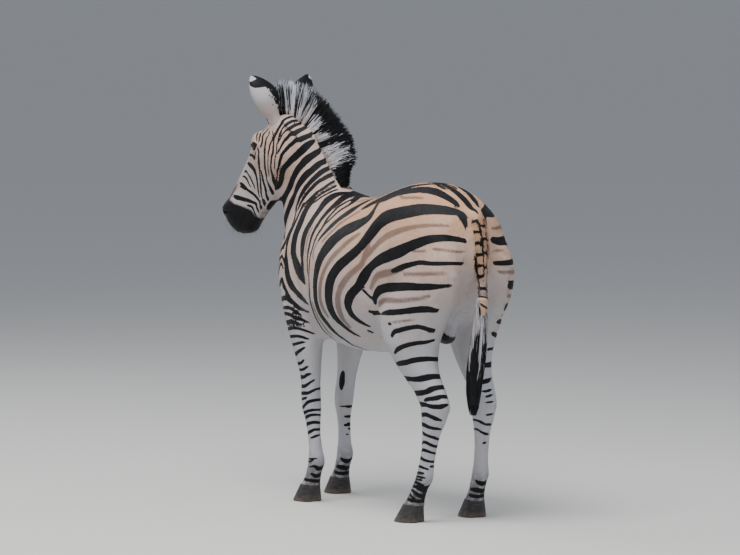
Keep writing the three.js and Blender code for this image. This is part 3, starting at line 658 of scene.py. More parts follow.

# %% Black stripes of the head, and painted shadow in the fold under the ear: rows of (along, above, half width), millimetres
CHEEK = [  # neighbours on the face stand at odd and even places of the list
    [(-12, -99, 10), (0, -98, 10), (20, -95, 9), (40, -92, 8), (60, -93, 7), (80, -95, 6), (100, -101, 6),
     (120, -108, 5),
     (137, -112, 4), (160, -113, 3), (185, -114, 2), (205, -117, 2), (222, -121, 1)],
    [(66, -47, 3), (75, -56, 3), (90, -69, 2), (108, -78, 3), (122, -85, 3), (136, -93, 3), (152, -99, 2)],
    [(46, 10, 2), (52, -4, 3), (60, -18, 4), (70, -28, 4), (80, -38, 4), (90, -47, 5), (103, -57, 6),
     (120, -62, 5),
     (136, -71, 5), (157, -80, 4), (172, -87, 5), (190, -97, 6), (205, -104, 7), (218, -111, 6),
     (230, -118, 4),
     (244, -125, 2)],
    [(62, -10, 2), (70, -16, 3), (80, -19, 4), (92, -23, 4), (104, -31, 4), (116, -36, 4), (128, -43, 3),
     (142, -53, 3), (158, -60, 3), (175, -69, 3), (193, -79, 3), (206, -85, 2)],
    [(60, 22, 4), (66, 15, 3), (76, 13, 3), (88, 11, 4), (98, 2, 4), (112, -7, 4), (125, -17, 5),
     (140, -27, 5),
     (155, -37, 5), (170, -45, 5), (186, -53, 6), (200, -63, 5), (212, -71, 5), (222, -77, 3), (232, -84, 3),
     (241, -95, 5), (252, -107, 6), (262, -116, 7), (272, -125, 6), (284, -131, 3)],
    [(142, 15, 3), (150, 4, 4), (165, -5, 4), (180, -13, 5), (200, -24, 5), (212, -31, 4), (226, -38, 3),
     (240, -44, 3), (252, -52, 4), (265, -59, 4), (276, -65, 5), (287, -71, 5), (297, -77, 4), (307, -83, 4),
     (316, -91, 3), (326, -99, 3), (336, -107, 3), (348, -117, 2)],
    [(214, -41, 2), (224, -48, 4), (233, -57, 5), (244, -65, 6), (254, -73, 6), (262, -83, 6), (273, -92, 6),
     (284, -99, 5), (294, -104, 5), (303, -112, 6), (312, -117, 4)],
    [(292, 40, 3), (282, 33, 5), (281, 18, 3), (281, 4, 4), (282, -10, 5), (287, -23, 4), (296, -36, 3),
     (306, -48, 2)],
    [(250, 46, 4), (243, 34, 9), (238, 20, 11), (234, 6, 12), (234, -8, 10), (241, -18, 7), (251, -28, 5),
     (265, -39, 4), (279, -48, 4), (292, -56, 4), (302, -63, 4), (313, -71, 3), (323, -80, 2)],
    [(346, 30, 5), (343, 20, 8), (341, 6, 9), (338, -8, 8), (335, -22, 6), (333, -36, 6), (332, -50, 6),
     (333, -65, 6), (337, -79, 5), (341, -91, 4), (350, -99, 3), (360, -105, 3), (371, -111, 2)],
    [(314, 38, 3), (308, 30, 4), (305, 17, 5), (304, 4, 5), (308, -9, 4), (311, -20, 3), (313, -30, 2)],
    [(390, -58, 4), (384, -68, 5), (383, -79, 5), (392, -92, 3), (401, -101, 3), (407, -112, 2)],
    [(410, 22, 7), (402, 6, 10), (394, -8, 9), (386, -22, 9), (378, -36, 8), (371, -48, 8), (366, -60, 7),
     (362, -72, 6), (359, -82, 6), (366, -90, 4), (374, -98, 4), (381, -105, 3), (388, -112, 3),
     (395, -118, 2)],
    [(-12, -60, 7), (0, -61, 7), (20, -62, 7), (38, -62, 6), (52, -66, 5), (66, -71, 4), (80, -75, 4),
     (90, -77, 2)],
    [(-12, -35, 4), (0, -36, 4), (20, -36, 3), (45, -43, 3), (60, -47, 2)],
    [(-12, -15, 3), (2, -17, 3), (20, -24, 4), (35, -30, 4), (48, -37, 3), (60, -45, 2)],
    [(-12, 4, 6), (0, 0, 6), (18, -4, 6), (34, -9, 6), (47, -15, 4), (56, -22, 2)],
    [(62, 41, 4), (80, 41, 4), (91, 40, 5), (98, 33, 5), (104, 24, 5), (112, 17, 5), (121, 12, 5),
     (129, 10, 4)],
    [(98, 57, 3), (104, 50, 4), (110, 45, 4), (116, 37, 3), (121, 31, 2)],
    [(104, 70, 3), (112, 63, 3), (119, 53, 2), (125, 42, 2)],
    # painted shadow: the fold under the ear's root, drawn as a black stripe
    [(34, 52, 4), (24, 42, 5), (14, 34, 4), (6, 28, 2)],
    [(160, 15, 2), (174, 13, 3), (184, 10, 5), (191, 10, 7), (190, 20, 7), (193, 32, 6), (202, 44, 6),
     (216, 60, 5)],
    [(357, 24, 3), (351, 8, 4), (344, -8, 4)],
    [(320, -104, 3), (330, -112, 3), (340, -119, 2)],
    [(352, -106, 2), (364, -113, 2), (378, -119, 2)],
    [(66, 66, 2), (78, 61, 3), (88, 58, 2)],
]
FOREHEAD = [
    [(10, 0, 3), (60, 0, 4), (160, 0, 4), (250, 0, 3), (320, 0, 2)],
    [(20, 17, 3), (60, 20, 4), (120, 22, 5), (180, 19, 4), (240, 14, 4), (300, 9, 3), (335, 7, 2)],
    [(45, 33, 3), (90, 37, 4), (140, 36, 5), (190, 31, 4), (250, 24, 4), (310, 17, 3), (345, 13, 2)],
    [(70, 50, 3), (115, 53, 4), (170, 47, 5), (230, 38, 4), (290, 30, 4), (350, 21, 2)],
    [(190, 60, 4), (240, 51, 4), (300, 40, 4), (352, 30, 3)],
]

# %% [markdown]
# Each leg has a chart of its own: millimetres round it, from the rear (0) towards its outer side
# (60 is full outside, 120 the front), and height. A negative number is the inner side.

# %% Black rings of the legs: rows of (round, height, half width), millimetres
FORE_OUTER = [
    [(32, 727, 2), (55, 732, 4), (75, 732, 4), (94, 727, 3), (125, 716, 3)],
    [(11, 691, 1), (25, 703, 3), (40, 709, 4), (55, 710, 5), (75, 706, 5), (94, 700, 5), (128, 686, 4),
     (146, 680, 2)],
    [(24, 669, 2), (32, 675, 4), (48, 678, 5), (67, 675, 5), (94, 668, 4), (122, 656, 4), (140, 650, 2)],
    [(34, 655, 3), (52, 648, 4), (71, 642, 4), (92, 635, 4), (118, 620, 4), (138, 614, 2)],
    [(32, 632, 2), (46, 621, 4), (59, 612, 5), (75, 603, 6), (91, 598, 6), (118, 592, 4), (138, 588, 2)],
    [(41, 580, 2), (52, 570, 4), (67, 565, 5), (89, 562, 4), (120, 558, 4), (138, 556, 2)],
    [(32, 553, 3), (44, 544, 4), (59, 540, 4), (88, 537, 4), (120, 534, 3), (136, 533, 2)],
    [(23, 525, 3), (34, 521, 5), (46, 512, 5), (63, 510, 7), (88, 506, 5), (118, 504, 4)],
    [(9, 500, 2), (23, 490, 3), (38, 479, 5), (55, 473, 6), (88, 472, 6), (118, 470, 4)],
    [(-45, 465, 2), (-29, 464, 3), (-2, 462, 3), (17, 455, 4), (32, 447, 5), (55, 445, 6), (84, 442, 4),
     (110, 441, 2)],
    [(42, 427, 3), (55, 423, 4), (73, 419, 3), (90, 416, 2)],
    [(-45, 416, 2), (-31, 417, 4), (-2, 418, 4), (21, 415, 5), (36, 409, 5), (55, 396, 5), (73, 386, 5),
     (88, 384, 4),
     (112, 380, 3)],
    [(-45, 377, 2), (-31, 378, 3), (-2, 378, 3), (21, 378, 4), (40, 374, 4), (59, 367, 5), (86, 360, 4),
     (110, 355, 3)],
    [(-45, 354, 1), (-31, 355, 2), (-2, 358, 3), (21, 358, 4), (36, 355, 4), (59, 348, 5), (86, 338, 4),
     (108, 334, 2)],
    [(-40, 321, 2), (-27, 323, 3), (-6, 326, 4), (17, 328, 5), (36, 325, 5), (59, 321, 6), (75, 316, 6),
     (88, 311, 5),
     (112, 306, 2)],
    [(-36, 297, 2), (-18, 298, 4), (2, 298, 4), (21, 298, 4), (40, 291, 5), (63, 285, 5), (84, 280, 4),
     (105, 277, 2)],
    [(-25, 276, 1), (-2, 275, 2), (17, 271, 4), (32, 267, 3), (46, 264, 2)],
    [(20, 182, 1), (50, 180, 2), (88, 178, 1)],
    [(40, 174, 1), (59, 168, 3), (86, 167, 2), (104, 168, 1)],
]
FORE_INNER = [
    [(31, 365, 3), (0, 364, 4), (-14, 366, 2), (-40, 366, 1)],
    [(29, 323, 4), (0, 323, 4), (-19, 324, 2)],
    [(31, 290, 6), (5, 291, 6), (-12, 288, 4), (-24, 288, 3)],
    [(29, 272, 4), (5, 273, 2)],
    [(4, 250, 1), (-10, 250, 2)],
    [(-36, 440, 5), (-40, 460, 12), (-42, 485, 13), (-41, 505, 8)],
]
HIND_OUTER = [
    [(-60, 621, 7), (-37, 634, 8), (-18, 644, 7), (0, 649, 7), (12, 651, 8), (24, 647, 8), (38, 639, 7),
     (56, 631, 8),
     (74, 624, 6), (92, 619, 3)],
    [(-60, 559, 8), (-37, 570, 8), (-18, 577, 7), (-6, 581, 8), (9, 582, 9), (28, 573, 9), (48, 569, 8),
     (71, 569, 8),
     (94, 567, 8), (118, 568, 5)],
    [(-56, 513, 5), (-45, 525, 6), (-22, 538, 6), (-2, 541, 7), (13, 536, 7), (28, 525, 7), (55, 518, 8),
     (75, 515, 8),
     (96, 511, 7), (118, 508, 5)],
    [(-37, 496, 4), (-22, 503, 5), (0, 506, 6), (13, 500, 7), (36, 496, 6), (50, 492, 5), (60, 488, 2)],
    [(-12, 474, 4), (0, 470, 7), (10, 467, 8), (36, 468, 7), (58, 472, 6), (75, 473, 8), (98, 471, 8),
     (118, 470, 5)],
    [(-4, 413, 2), (8, 418, 5), (17, 423, 6), (36, 430, 6), (55, 434, 7), (75, 432, 7), (96, 429, 6),
     (118, 427, 3)],
    [(-14, 376, 2), (0, 379, 4), (17, 382, 5), (40, 387, 6), (63, 392, 7), (94, 394, 7), (115, 394, 4)],
    [(-45, 335, 3), (-22, 335, 3), (2, 343, 4), (28, 350, 4), (55, 355, 5), (75, 359, 5), (92, 361, 5),
     (115, 362, 3)],
    [(-52, 313, 4), (-37, 305, 5), (-20, 306, 4), (-2, 310, 4), (28, 321, 5), (55, 324, 5), (78, 318, 5),
     (94, 305, 5),
     (112, 292, 3)],
    [(-52, 286, 3), (-37, 277, 4), (-10, 281, 3), (17, 288, 4), (44, 292, 5), (67, 291, 5), (92, 281, 4),
     (112, 274, 2)],
    [(-52, 252, 3), (-37, 245, 4), (-2, 247, 3), (25, 252, 4), (48, 256, 5), (71, 259, 5), (94, 257, 4),
     (112, 254, 2)],
    [(-45, 224, 3), (-10, 227, 3)],
    [(5, 216, 2), (25, 221, 3), (55, 225, 4), (94, 225, 3), (110, 225, 2)],
    [(-60, 203, 2), (-46, 200, 2)],
    [(24, 200, 2), (54, 202, 3), (96, 201, 2)],
    [(-60, 184, 2), (-44, 180, 2)],
    [(17, 182, 2), (44, 185, 3), (94, 186, 2)],
    [(30, 172, 2), (63, 175, 2), (96, 175, 2)],
    [(12, 153, 2), (40, 159, 3), (67, 162, 4), (96, 162, 3)],
    [(-44, 118, 5), (-30, 123, 8), (-10, 130, 8), (17, 136, 7), (40, 143, 5), (67, 147, 5), (98, 148, 4)],
    [(-30, 98, 4), (-10, 102, 5), (17, 111, 5), (40, 122, 4), (67, 130, 3), (98, 134, 2)],
    [(36, 100, 2), (70, 112, 3), (98, 118, 2)],
    [(36, 84, 2), (70, 93, 2), (98, 98, 2)],
]
HIND_INNER = [
    [(24, 675, 5), (5, 672, 4), (-4, 671, 2)],
    [(26, 612, 9), (5, 610, 9), (-8, 608, 4)],
    [(5, 557, 2), (-5, 550, 6), (-14, 542, 3)],
    [(-5, 515, 3), (-12, 511, 3), (-19, 510, 2)],
    [(-5, 495, 3), (-14, 491, 3)],
    [(-5, 470, 2), (-17, 468, 2)],
    [(0, 420, 3), (-14, 418, 3)],
    [(7, 377, 3), (-7, 378, 4), (-19, 380, 3), (-36, 390, 4), (-60, 394, 3), (-92, 393, 3)],
    [(0, 338, 3), (-12, 340, 4), (-29, 347, 3), (-53, 357, 3), (-92, 357, 2)],
    [(-10, 304, 4), (-17, 303, 3)],
]
# the tail's dock: (round from its rear towards the left, height, half width); its left edge line is partly
# black hair and partly painted shadow
DOCK = [
    [(15, 1240, 3), (13, 1150, 4), (10, 1080, 3), (9, 1010, 3), (10, 960, 2)],
    # left edge line: partly black hair, partly painted shadow of the gap between the tail and the left
    # buttock
    [(49, 1230, 4), (48, 1100, 5), (46, 930, 5), (44, 880, 5)],
    [(-22, 1230, 3), (-22, 1100, 4), (-21, 950, 4), (-20, 880, 4)],
    [(54, 1176, 2), (34, 1186, 4), (14, 1190, 3)],
    [(54, 1138, 3), (34, 1147, 4), (14, 1150, 3)],
    [(54, 1098, 3), (34, 1104, 5), (14, 1106, 3)],
    [(54, 1056, 3), (34, 1060, 5), (14, 1061, 3)],
    [(54, 1014, 3), (34, 1017, 5), (14, 1018, 3)],
    [(54, 972, 4), (34, 975, 6), (14, 976, 4)],
    [(13, 1172, 2), (-10, 1168, 4), (-30, 1164, 3)],
    [(13, 1124, 2), (-10, 1120, 4), (-30, 1116, 3)],
    [(13, 1070, 2), (-10, 1066, 4), (-30, 1062, 3)],
    [(13, 1016, 2), (-10, 1010, 4), (-30, 1006, 3)],
    [(46, 928, 4), (20, 930, 5), (-20, 926, 4)],
    [(44, 892, 4), (20, 893, 5), (-20, 890, 4)],
]

# %% Where a place lies on a leg
ROUND = 0.240
LEGS = {  # forward, left, knee height, hip height, how far forward knee and foot stand, outward, turned
    "foreleg_left": (0.440, 0.130, 0.405, 0.900, -0.046, -0.072, -0.008, 3),
    "foreleg_right": (0.440, -0.130, 0.405, 0.900, 0.108, 0.098, -0.008, 6),
    "hindleg_left": (-0.475, 0.132, 0.480, 1.050, -0.008, 0.060, 0.014, 16),
    "hindleg_right": (-0.475, -0.132, 0.480, 1.050, 0.036, 0.066, 0.004, 8),
}
AHEAD = {  # how far the leg's middle lies ahead of its plain place, by height
    "fore": ([0.06, 0.11, 0.165, 0.30, 0.42, 0.57, 0.71, 0.79],
             [0.050, 0.028, 0, 0.004, 0.010, 0.004, 0.012, 0.020]),
    "hind": ([0.06, 0.112, 0.168, 0.32, 0.42, 0.465, 0.505, 0.55, 0.61, 0.68, 0.75, 0.83],
             [0.030, 0.008, -0.020, -0.020, -0.024, -0.026, -0.006, 0.032, 0.074, 0.102, 0.108, 0.086]),
}


def leg_middle(name, up):
    """(forward, left) of a leg's middle at these heights."""
    forward, left, knee, hip, at_knee, at_foot, out, _ = LEGS[name]
    stand = np.interp(up, [0.14, knee, hip], [at_foot, at_knee, 0])
    spread = np.interp(up, [0.14, knee, hip], [out, out * 0.3, 0])
    return forward + stand + np.interp(up, *AHEAD[name[:4]]), left + math.copysign(1, left) * spread


def leg_place(points):
    """Below the body: which leg, the distance round it in metres, the outward offset from its middle."""
    forward, left, up = points.T
    which = np.where(forward > 0, 0, 2) + (left < 0)
    around = np.zeros(len(points))
    offset = np.zeros(len(points))
    for index, name in enumerate(LEGS):
        here = which == index
        middle_forward, middle_left = leg_middle(name, up[here])
        way = math.copysign(1, LEGS[name][1])
        outer = (left[here] - middle_left) * way
        angle = np.arctan2(outer, middle_forward - forward[here])
        around[here] = angle / (2 * math.pi) * ROUND
        offset[here] = outer
    return which, around, offset


def ringed(around, up, stripes, wider=0.0018):
    """`inside` on a leg, where the chart's two ends meet."""
    far = np.where(around < -ROUND / 4, around + ROUND, around)
    return deeper(inside(around, up, stripes, wider=wider), inside(far, up, stripes, wider=wider))


# %% The tail's line, and the line of the crest
def along_curve(rows, shares, fine=24):
    """Points of a rounded line at shares of its length, with its direction there."""
    curve = smooth_curve(rows, fine)
    steps = np.linalg.norm(np.diff(curve, axis=0), axis=1)
    run = np.concatenate([[0], np.cumsum(steps)]) / steps.sum()
    spot = np.stack([np.interp(shares, run, curve[:, k]) for k in range(3)], 1)
    ahead = np.stack([np.interp(np.clip(shares + 0.01, 0, 1), run, curve[:, k]) for k in range(3)], 1)
    behind = np.stack([np.interp(np.clip(shares - 0.01, 0, 1), run, curve[:, k]) for k in range(3)], 1)
    way = ahead - behind
    return spot, way / np.linalg.norm(way, axis=1, keepdims=True)


TAIL_LINE = np.array([
    (-0.545, 0, 1.221), (-0.588, 0, 1.211), (-0.619, 0, 1.155), (-0.636, 0, 1.055), (-0.641, 0.001, 0.915),
    (-0.630, 0.007, 0.755), (-0.614, 0.017, 0.595), (-0.608, 0.022, 0.428),
])
NECK_LINE = np.vstack([
    [(0.370, 0, 1.010), (0.455, 0.004, 1.130), (0.522, 0.018, 1.250), (0.562, 0.040, 1.370),
     (0.590, 0.064, 1.465)],
    [in_head(0.010, -0.020, 0)],
])
CREST_SHARE = np.array([0.41, 0.52, 0.63, 0.74, 0.85])
CREST_OUT = np.array([0.164, 0.153, 0.136, 0.122, 0.108])


def neck_frame(shares):
    """Middle, direction, left side and crest direction of the neck at shares of its line."""
    middle, way = along_curve(NECK_LINE, shares)
    turn = YAW * shares
    side = np.stack([-np.sin(turn), np.cos(turn), 0 * turn], 1)
    side -= way * (side * way).sum(1, keepdims=True)
    side /= np.linalg.norm(side, axis=1, keepdims=True)
    return middle, way, side, np.cross(way, side)


def on_dock(points):
    """1 on the tail's dock, and the coordinate round it, from the rear towards the left."""
    forward, left, up = points.T
    spot = np.interp(up, TAIL_LINE[::-1, 2], TAIL_LINE[::-1, 0])
    out = np.hypot(forward - spot, left)
    share = (1 - ease(out, 0.030, 0.040)) * ease(-up, -1.215, -1.195) * ease(-forward, 0.585, 0.600)
    return share, np.arctan2(left, spot - forward) * 0.027

# %% All the markings at a place
EXTRA = [
    [(-40, 152, 3), (-18, 142, 7), (8, 140, 8), (30, 150, 4), (60, 146, 2)],
    [(-62, 116, 4), (-25, 114, 8), (8, 108, 7), (36, 118, 3)],
    [(-62, 92, 4), (-10, 86, 6), (36, 90, 5), (90, 94, 3)],
]


def eye_gap(points, way):
    """Distance outside the almond of one eye, in metres, and how far the place is from the eye's middle."""
    centre, _, front, rise = EYE_LOOK[way]
    local = points - centre
    u, v = local @ front, local @ rise
    reach = np.hypot(u, v)
    almond = np.hypot(u / 0.0180, v / np.where(v > 0, 0.0122, 0.0098) * (1 + 0.30 * (u / 0.018) ** 2))
    return (almond - 1) * reach / np.maximum(almond, 0.05), np.linalg.norm(local, axis=1)


def body_stripes(points):
    """Black and shadow stripes of the trunk and neck, and the stripes' fading on the inner sides."""
    forward, left, up = points.T
    middle = np.interp(up, NECK_LINE[:, 2], NECK_LINE[:, 1]) * ease(forward, 0.30, 0.45)
    turn = YAW * np.interp(up, [1.01, 1.50], [0, 0.9]) * ease(forward, 0.30, 0.45)
    far = left - middle
    away = ease(-far, 0.03, 0.12)
    a, b = unrolled(points)
    a = np.where(far < 0, a + 2 * far * np.sin(turn), a)
    a = a + away * 0.016 * np.sin(7 * up + 1.0)
    b = b + away * (0.009 * np.sin(8 * forward) - 0.006)
    a = a + 0.045 * away * ease(-forward, 0.42, 0.55)
    croup = wide(inside(a, b, CROUP, wider=CROUP_WIDER), 0.004 * away * ease(-forward, 0.42, 0.52))
    black = deeper(croup, inside(a, b, BARREL, wider=BARREL_WIDER))
    black = deeper(black, inside(a, b, NECK, wider=NECK_WIDER))
    shadow = inside(a, b, SHADOW, -0.02, wider=SHADOW_WIDER)[:, 0]
    side = np.abs(left)
    bare = np.interp(up, [0.55, 0.70, 0.84, 0.94, 1.0, 1.04, 1.15, 1.24],
                     [0.10, 0.12, 0.148, 0.120, 0.060, 0.052, 0.036, 0.0])
    fade = (1 - ease(side, bare, bare + 0.02)) * ease(-forward, 0.28, 0.36)
    fade += ((1 - ease(side, 0.050, 0.072)) * ease(-up, -0.80, -0.74)
             * ease(forward, 0.15, 0.22) * (1 - ease(forward, 0.54, 0.58)))
    fade = np.clip(fade, 0, 1)
    return less(black, 0.05 * fade), shadow - 0.05 * fade


def leg_stripes(points):
    """Black rings of the four legs."""
    which, around, _ = leg_place(points)
    up = points[:, 2]
    black = np.tile([-0.03, -0.03, 1.0], (len(points), 1))
    for index, (outer, inner) in enumerate([(FORE_OUTER, None), (FORE_OUTER, FORE_INNER), (HIND_OUTER, None),
                                            (HIND_OUTER, HIND_INNER)]):
        here = which == index
        a, b = around[here], up[here] + (0.006 * np.sin(90 * around[here]) if index % 2 else 0)
        rings = ringed(a, b, outer)
        if inner is not None:
            start = 0.03 if index == 1 else 0.022
            rings = deeper(less(rings, 0.02 * (1 - ease(a, start - 0.012, start + 0.012))),
                           ringed(a, up[here], inner))
        black[here] = deeper(rings, ringed(a, up[here], EXTRA))
    return black


def head_stripes(points, normals):
    """Black stripes of the head: one chart for its sides, one for the forehead."""
    along, above, aside = head_place(points).T
    wander = np.where(aside < 0, 0.005 * np.sin(34 * above + 20 * along), 0)
    cheek = inside(along + wander, above, CHEEK, wider=CHEEK_WIDER)
    brow = inside(along, np.abs(aside + wander * 0.5), FOREHEAD, wider=FOREHEAD_WIDER)
    top = ease(normals @ ABOVE, 0.62, 0.80) * ease(above, 0.015, 0.04)
    under = ease(-(normals @ ABOVE), 0.70, 0.90)
    return deeper(less(cheek, 0.03 * under + 0.03 * top), less(brow, 0.03 * (1 - top)))


def markings(points, normals):
    """Every field of the coat at these places.

    black is a stripe's half width and across the distance from its middle, so that black - |across| is the
    depth inside it and stays exact between the mesh's points; shadow and muzzle are depths in metres;
    tone, rust and low are shares.
    """
    forward, left, up = points.T
    along, above, _ = head_place(points).T
    head = head_share(points)
    black, shadow = body_stripes(points)
    low = up < 0.78
    black[low] = deeper(less(black[low], 0.05 * (1 - ease(up[low], 0.56, 0.60))), leg_stripes(points[low]))
    dock, around = on_dock(points)
    black = deeper(less(black, 0.05 * dock),
                   less(inside(around, up, DOCK, wider=DOCK_WIDER), 0.05 * (1 - dock)))
    shadow = shadow * (1 - dock) - 0.02 * dock
    face = ease(head, 0.01, 0.06)
    behind = (0.014 * ease(head, 0.02, 0.40) + 0.05 * ease(head, 0.34, 0.46)) * ease(above, -0.124, -0.112)
    black = deeper(less(black, behind), less(head_stripes(points, normals), 0.06 * (1 - face)))
    spine = np.interp(forward, [-0.615, -0.58, -0.50, -0.30, 0.0, 0.24, 0.30],
                      [0.0, 0.012, 0.017, 0.013, 0.006, 0.003, 0.0])
    on_top = ease(normals[:, 2], 0.25, 0.5) * (up > 1.1) * (1 - dock)
    ridge = np.stack([spine - np.abs(left), spine, np.sign(left)], 1)
    black = deeper(black, less(ridge, 0.03 * (1 - on_top)))
    belly = ease(-normals[:, 2], 0.85, 0.97) * (up < 0.80) * (up > 0.58) * ease(forward, -0.12, -0.02)
    black = deeper(black, plain(0.010 * belly - np.abs(left) * belly - 0.02 * (1 - belly)))
    muzzle = along - np.interp(above, [-0.115, -0.08, -0.04, 0, 0.04, 0.06],
                               [0.410, 0.395, 0.410, 0.430, 0.440, 0.456])
    muzzle = np.where(head > 0.5, muzzle, -0.05)
    rust = head * ease(along, 0.290, 0.410) * ease(above, 0.016, 0.048)
    rust = np.maximum(rust, head * ease(-above, 0.095, 0.130) * ease(along, 0.29, 0.38) * 0.8)
    rust = np.maximum(rust, 0.42 * dock)
    for way in (1, -1):
        gap, reach = eye_gap(points, way)
        black = deeper(black, plain(np.where(reach < 0.05, 0.0070 - gap, -0.03)))
    tone = 0.25 + 0.33 * ease(up, 0.75, 1.0) + 0.42 * ease(up, 0.95, 1.28) * ease(-forward, -0.50, 0.10)
    tone += 0.25 * dock - 0.12 * ease(-forward, 0.3, 0.4) * (1 - ease(np.abs(left), 0.10, 0.16)) * (up < 1.0)
    tone = tone * (1 - 0.55 * (1 - ease(up, 0.55, 0.80)))
    tone += 0.10 * head - 0.35 * head * ease(along, 0.18, 0.28)
    depth, half, side = black.T
    near = depth > -0.004
    return {"black": np.where(near, half, depth), "across": np.where(near, side * (half - depth), 0),
            "shadow": shadow, "muzzle": np.clip(muzzle, -0.05, 0.05), "rust": rust,
            "tone": np.clip(tone, 0, 1), "low": 1 - ease(up, 0.10, 0.23)}


# %% [markdown]
# ## The coat's material
#
# Stripe edges are cut in the shader: the field is wobbled by a fine noise, then turned into a mask
# over about a millimetre. The hairs use the same material, each with the numbers of its own root.

# %% Material helpers
def srgb(red, green, blue):
    """A colour given on the 0-255 display scale, as the linear colour that shaders want."""
    c = np.array([red, green, blue]) / 255.0
    linear = np.where(c <= 0.04045, c / 12.92, ((c + 0.055) / 1.055) ** 2.4)
    return (*[float(v) for v in linear], 1.0)


class Shader:
    """A small helper that adds nodes to a material and links them in one call."""

    def __init__(self, name):
        self.material = bpy.data.materials.new(name)
        self.material.use_nodes = True
        self.tree = self.material.node_tree
        self.tree.nodes.clear()

    def add(self, kind, settings=None, **inputs):
        """Adds a node; each input is a plain value or another node's output."""
        node = self.tree.nodes.new(kind)
        for key, value in (settings or {}).items():
            setattr(node, key, value)
        for key, value in inputs.items():
            socket = node.inputs[int(key[1:])] if key[0] == "_" else node.inputs[key.replace("_", " ")]
            if isinstance(value, bpy.types.NodeSocket):
                self.tree.links.new(value, socket)
            else:
                socket.default_value = value
        return node

    def field(self, name):
        """A vertex attribute as a number."""
        return self.add("ShaderNodeAttribute", {"attribute_name": name}).outputs["Fac"]

    def sum(self, a, b, operation="ADD"):
        return self.add("ShaderNodeMath", {"operation": operation}, _0=a, _1=b).outputs[0]

    def ramp(self, value, low, high, start=0.0, end=1.0):
        """A smooth step of the value from low to high."""
        node = self.add("ShaderNodeMapRange", {"interpolation_type": "SMOOTHSTEP"}, Value=value)
        for key, number in zip(("From Min", "From Max", "To Min", "To Max"), (low, high, start, end)):
            node.inputs[key].default_value = number
        return node.outputs["Result"]

    def mix(self, share, a, b):
        """Two colours mixed by a share."""
        node = self.add("ShaderNodeMix", {"data_type": "RGBA"})
        for socket, value in ((node.inputs[0], share), (node.inputs[6], a), (node.inputs[7], b)):
            if isinstance(value, bpy.types.NodeSocket):
                self.tree.links.new(value, socket)
            else:
                socket.default_value = value
        return node.outputs[2]

    def noise(self, scale, detail=2.0, stretch=(1, 1, 1)):
        """Noise in the piece's own coordinates, centred on zero."""
        place = self.add("ShaderNodeTexCoord").outputs["Object"]
        scaled = self.add("ShaderNodeMapping", Vector=place)
        scaled.inputs["Scale"].default_value = stretch
        node = self.add("ShaderNodeTexNoise", Vector=scaled.outputs[0], Scale=scale, Detail=detail)
        return self.sum(node.outputs["Fac"], 0.5, "SUBTRACT")

    def finish(self, colour, roughness, bump=None, bump_depth=0.0, bump_strength=0.5, **fixed):
        """The surface shader; fixed are its unlinked values."""
        shader = self.add("ShaderNodeBsdfPrincipled", Base_Color=colour, Roughness=roughness)
        for key, value in fixed.items():
            shader.inputs[key.replace("_", " ")].default_value = value
        if bump is not None:
            node = self.add("ShaderNodeBump", Strength=bump_strength, Distance=bump_depth, Height=bump)
            self.tree.links.new(node.outputs[0], shader.inputs["Normal"])
        output = self.add("ShaderNodeOutputMaterial")
        self.tree.links.new(shader.outputs[0], output.inputs[0])
        return self.material


# %% The coat
COOL = srgb(178, 182, 190)
WARM = srgb(192, 150, 118)
BLACK = srgb(7, 8, 13)
BROWN = srgb(98, 72, 60)
RUST = srgb(84, 54, 42)
MUZZLE = srgb(14, 13, 16)
EARTH = srgb(72, 66, 62)


def coat_material(name, fibres):
    """The striped coat; fibres is the depth of the fine bump that stands for flat-lying hair."""
    s = Shader(name)
    shade = s.field("shade")
    fine = s.noise(420, 2.0)
    wobble = s.sum(s.sum(fine, 0.0022, "MULTIPLY"), s.sum(s.noise(90, 2.0), 0.0022, "MULTIPLY"))
    ground = s.mix(s.sum(s.field("tone"), s.sum(s.noise(9, 3.0), 0.5, "MULTIPLY")), COOL, WARM)
    edge = s.sum(s.field("shadow"), s.sum(wobble, 1.6, "MULTIPLY"))
    ground = s.mix(s.sum(s.ramp(edge, -0.005, 0.005), 0.74, "MULTIPLY"), ground, BROWN)
    mottled = s.sum(s.field("low"), s.ramp(s.noise(45, 3.0), -0.30, 0.06), "MULTIPLY")
    ground = s.mix(s.sum(mottled, 0.75, "MULTIPLY"), ground, EARTH)
    blacks = s.mix(s.ramp(s.noise(14, 2.0), -0.2, 0.25), BLACK, srgb(15, 14, 17))
    depth = s.sum(s.field("black"), s.sum(s.field("across"), 0.0, "ABSOLUTE"), "SUBTRACT")
    mask = s.ramp(s.sum(depth, wobble), -0.0008, 0.0008)
    rusty = s.ramp(s.sum(s.field("rust"), s.sum(s.noise(60, 2.0), 0.7, "MULTIPLY")), 0.2, 1.1)
    ground = s.mix(rusty, ground, RUST)
    colour = s.mix(mask, ground, blacks)
    snout = s.ramp(s.sum(s.field("muzzle"), s.sum(wobble, 3.0, "MULTIPLY")), -0.007, 0.006)
    colour = s.mix(snout, colour, MUZZLE)
    bright = s.sum(s.sum(s.sum(fine, 0.16, "MULTIPLY"), shade), 1.0)
    colour = s.add("ShaderNodeVectorMath", {"operation": "SCALE"}, Vector=colour, Scale=bright).outputs[0]
    long_way = s.noise(260, 2.0, (2.4, 0.5, 1.2))
    down = s.noise(260, 2.0, (2.4, 2.4, 0.45))
    leg = s.add("ShaderNodeMix", Factor=s.ramp(s.field("low"), 0.0, 0.5), A=long_way, B=down)
    height = s.sum(leg.outputs[0], s.sum(s.noise(900, 1.0), 0.25, "MULTIPLY"))
    return s.finish(colour, 0.58, height, fibres, 0.55, Sheen_Weight=0.03, Sheen_Roughness=0.4,
                    Specular_IOR_Level=0.22)


COAT_SKIN = coat_material("coat_skin", 0.0012)
COAT_HAIR = coat_material("coat_hair", 0.0002)

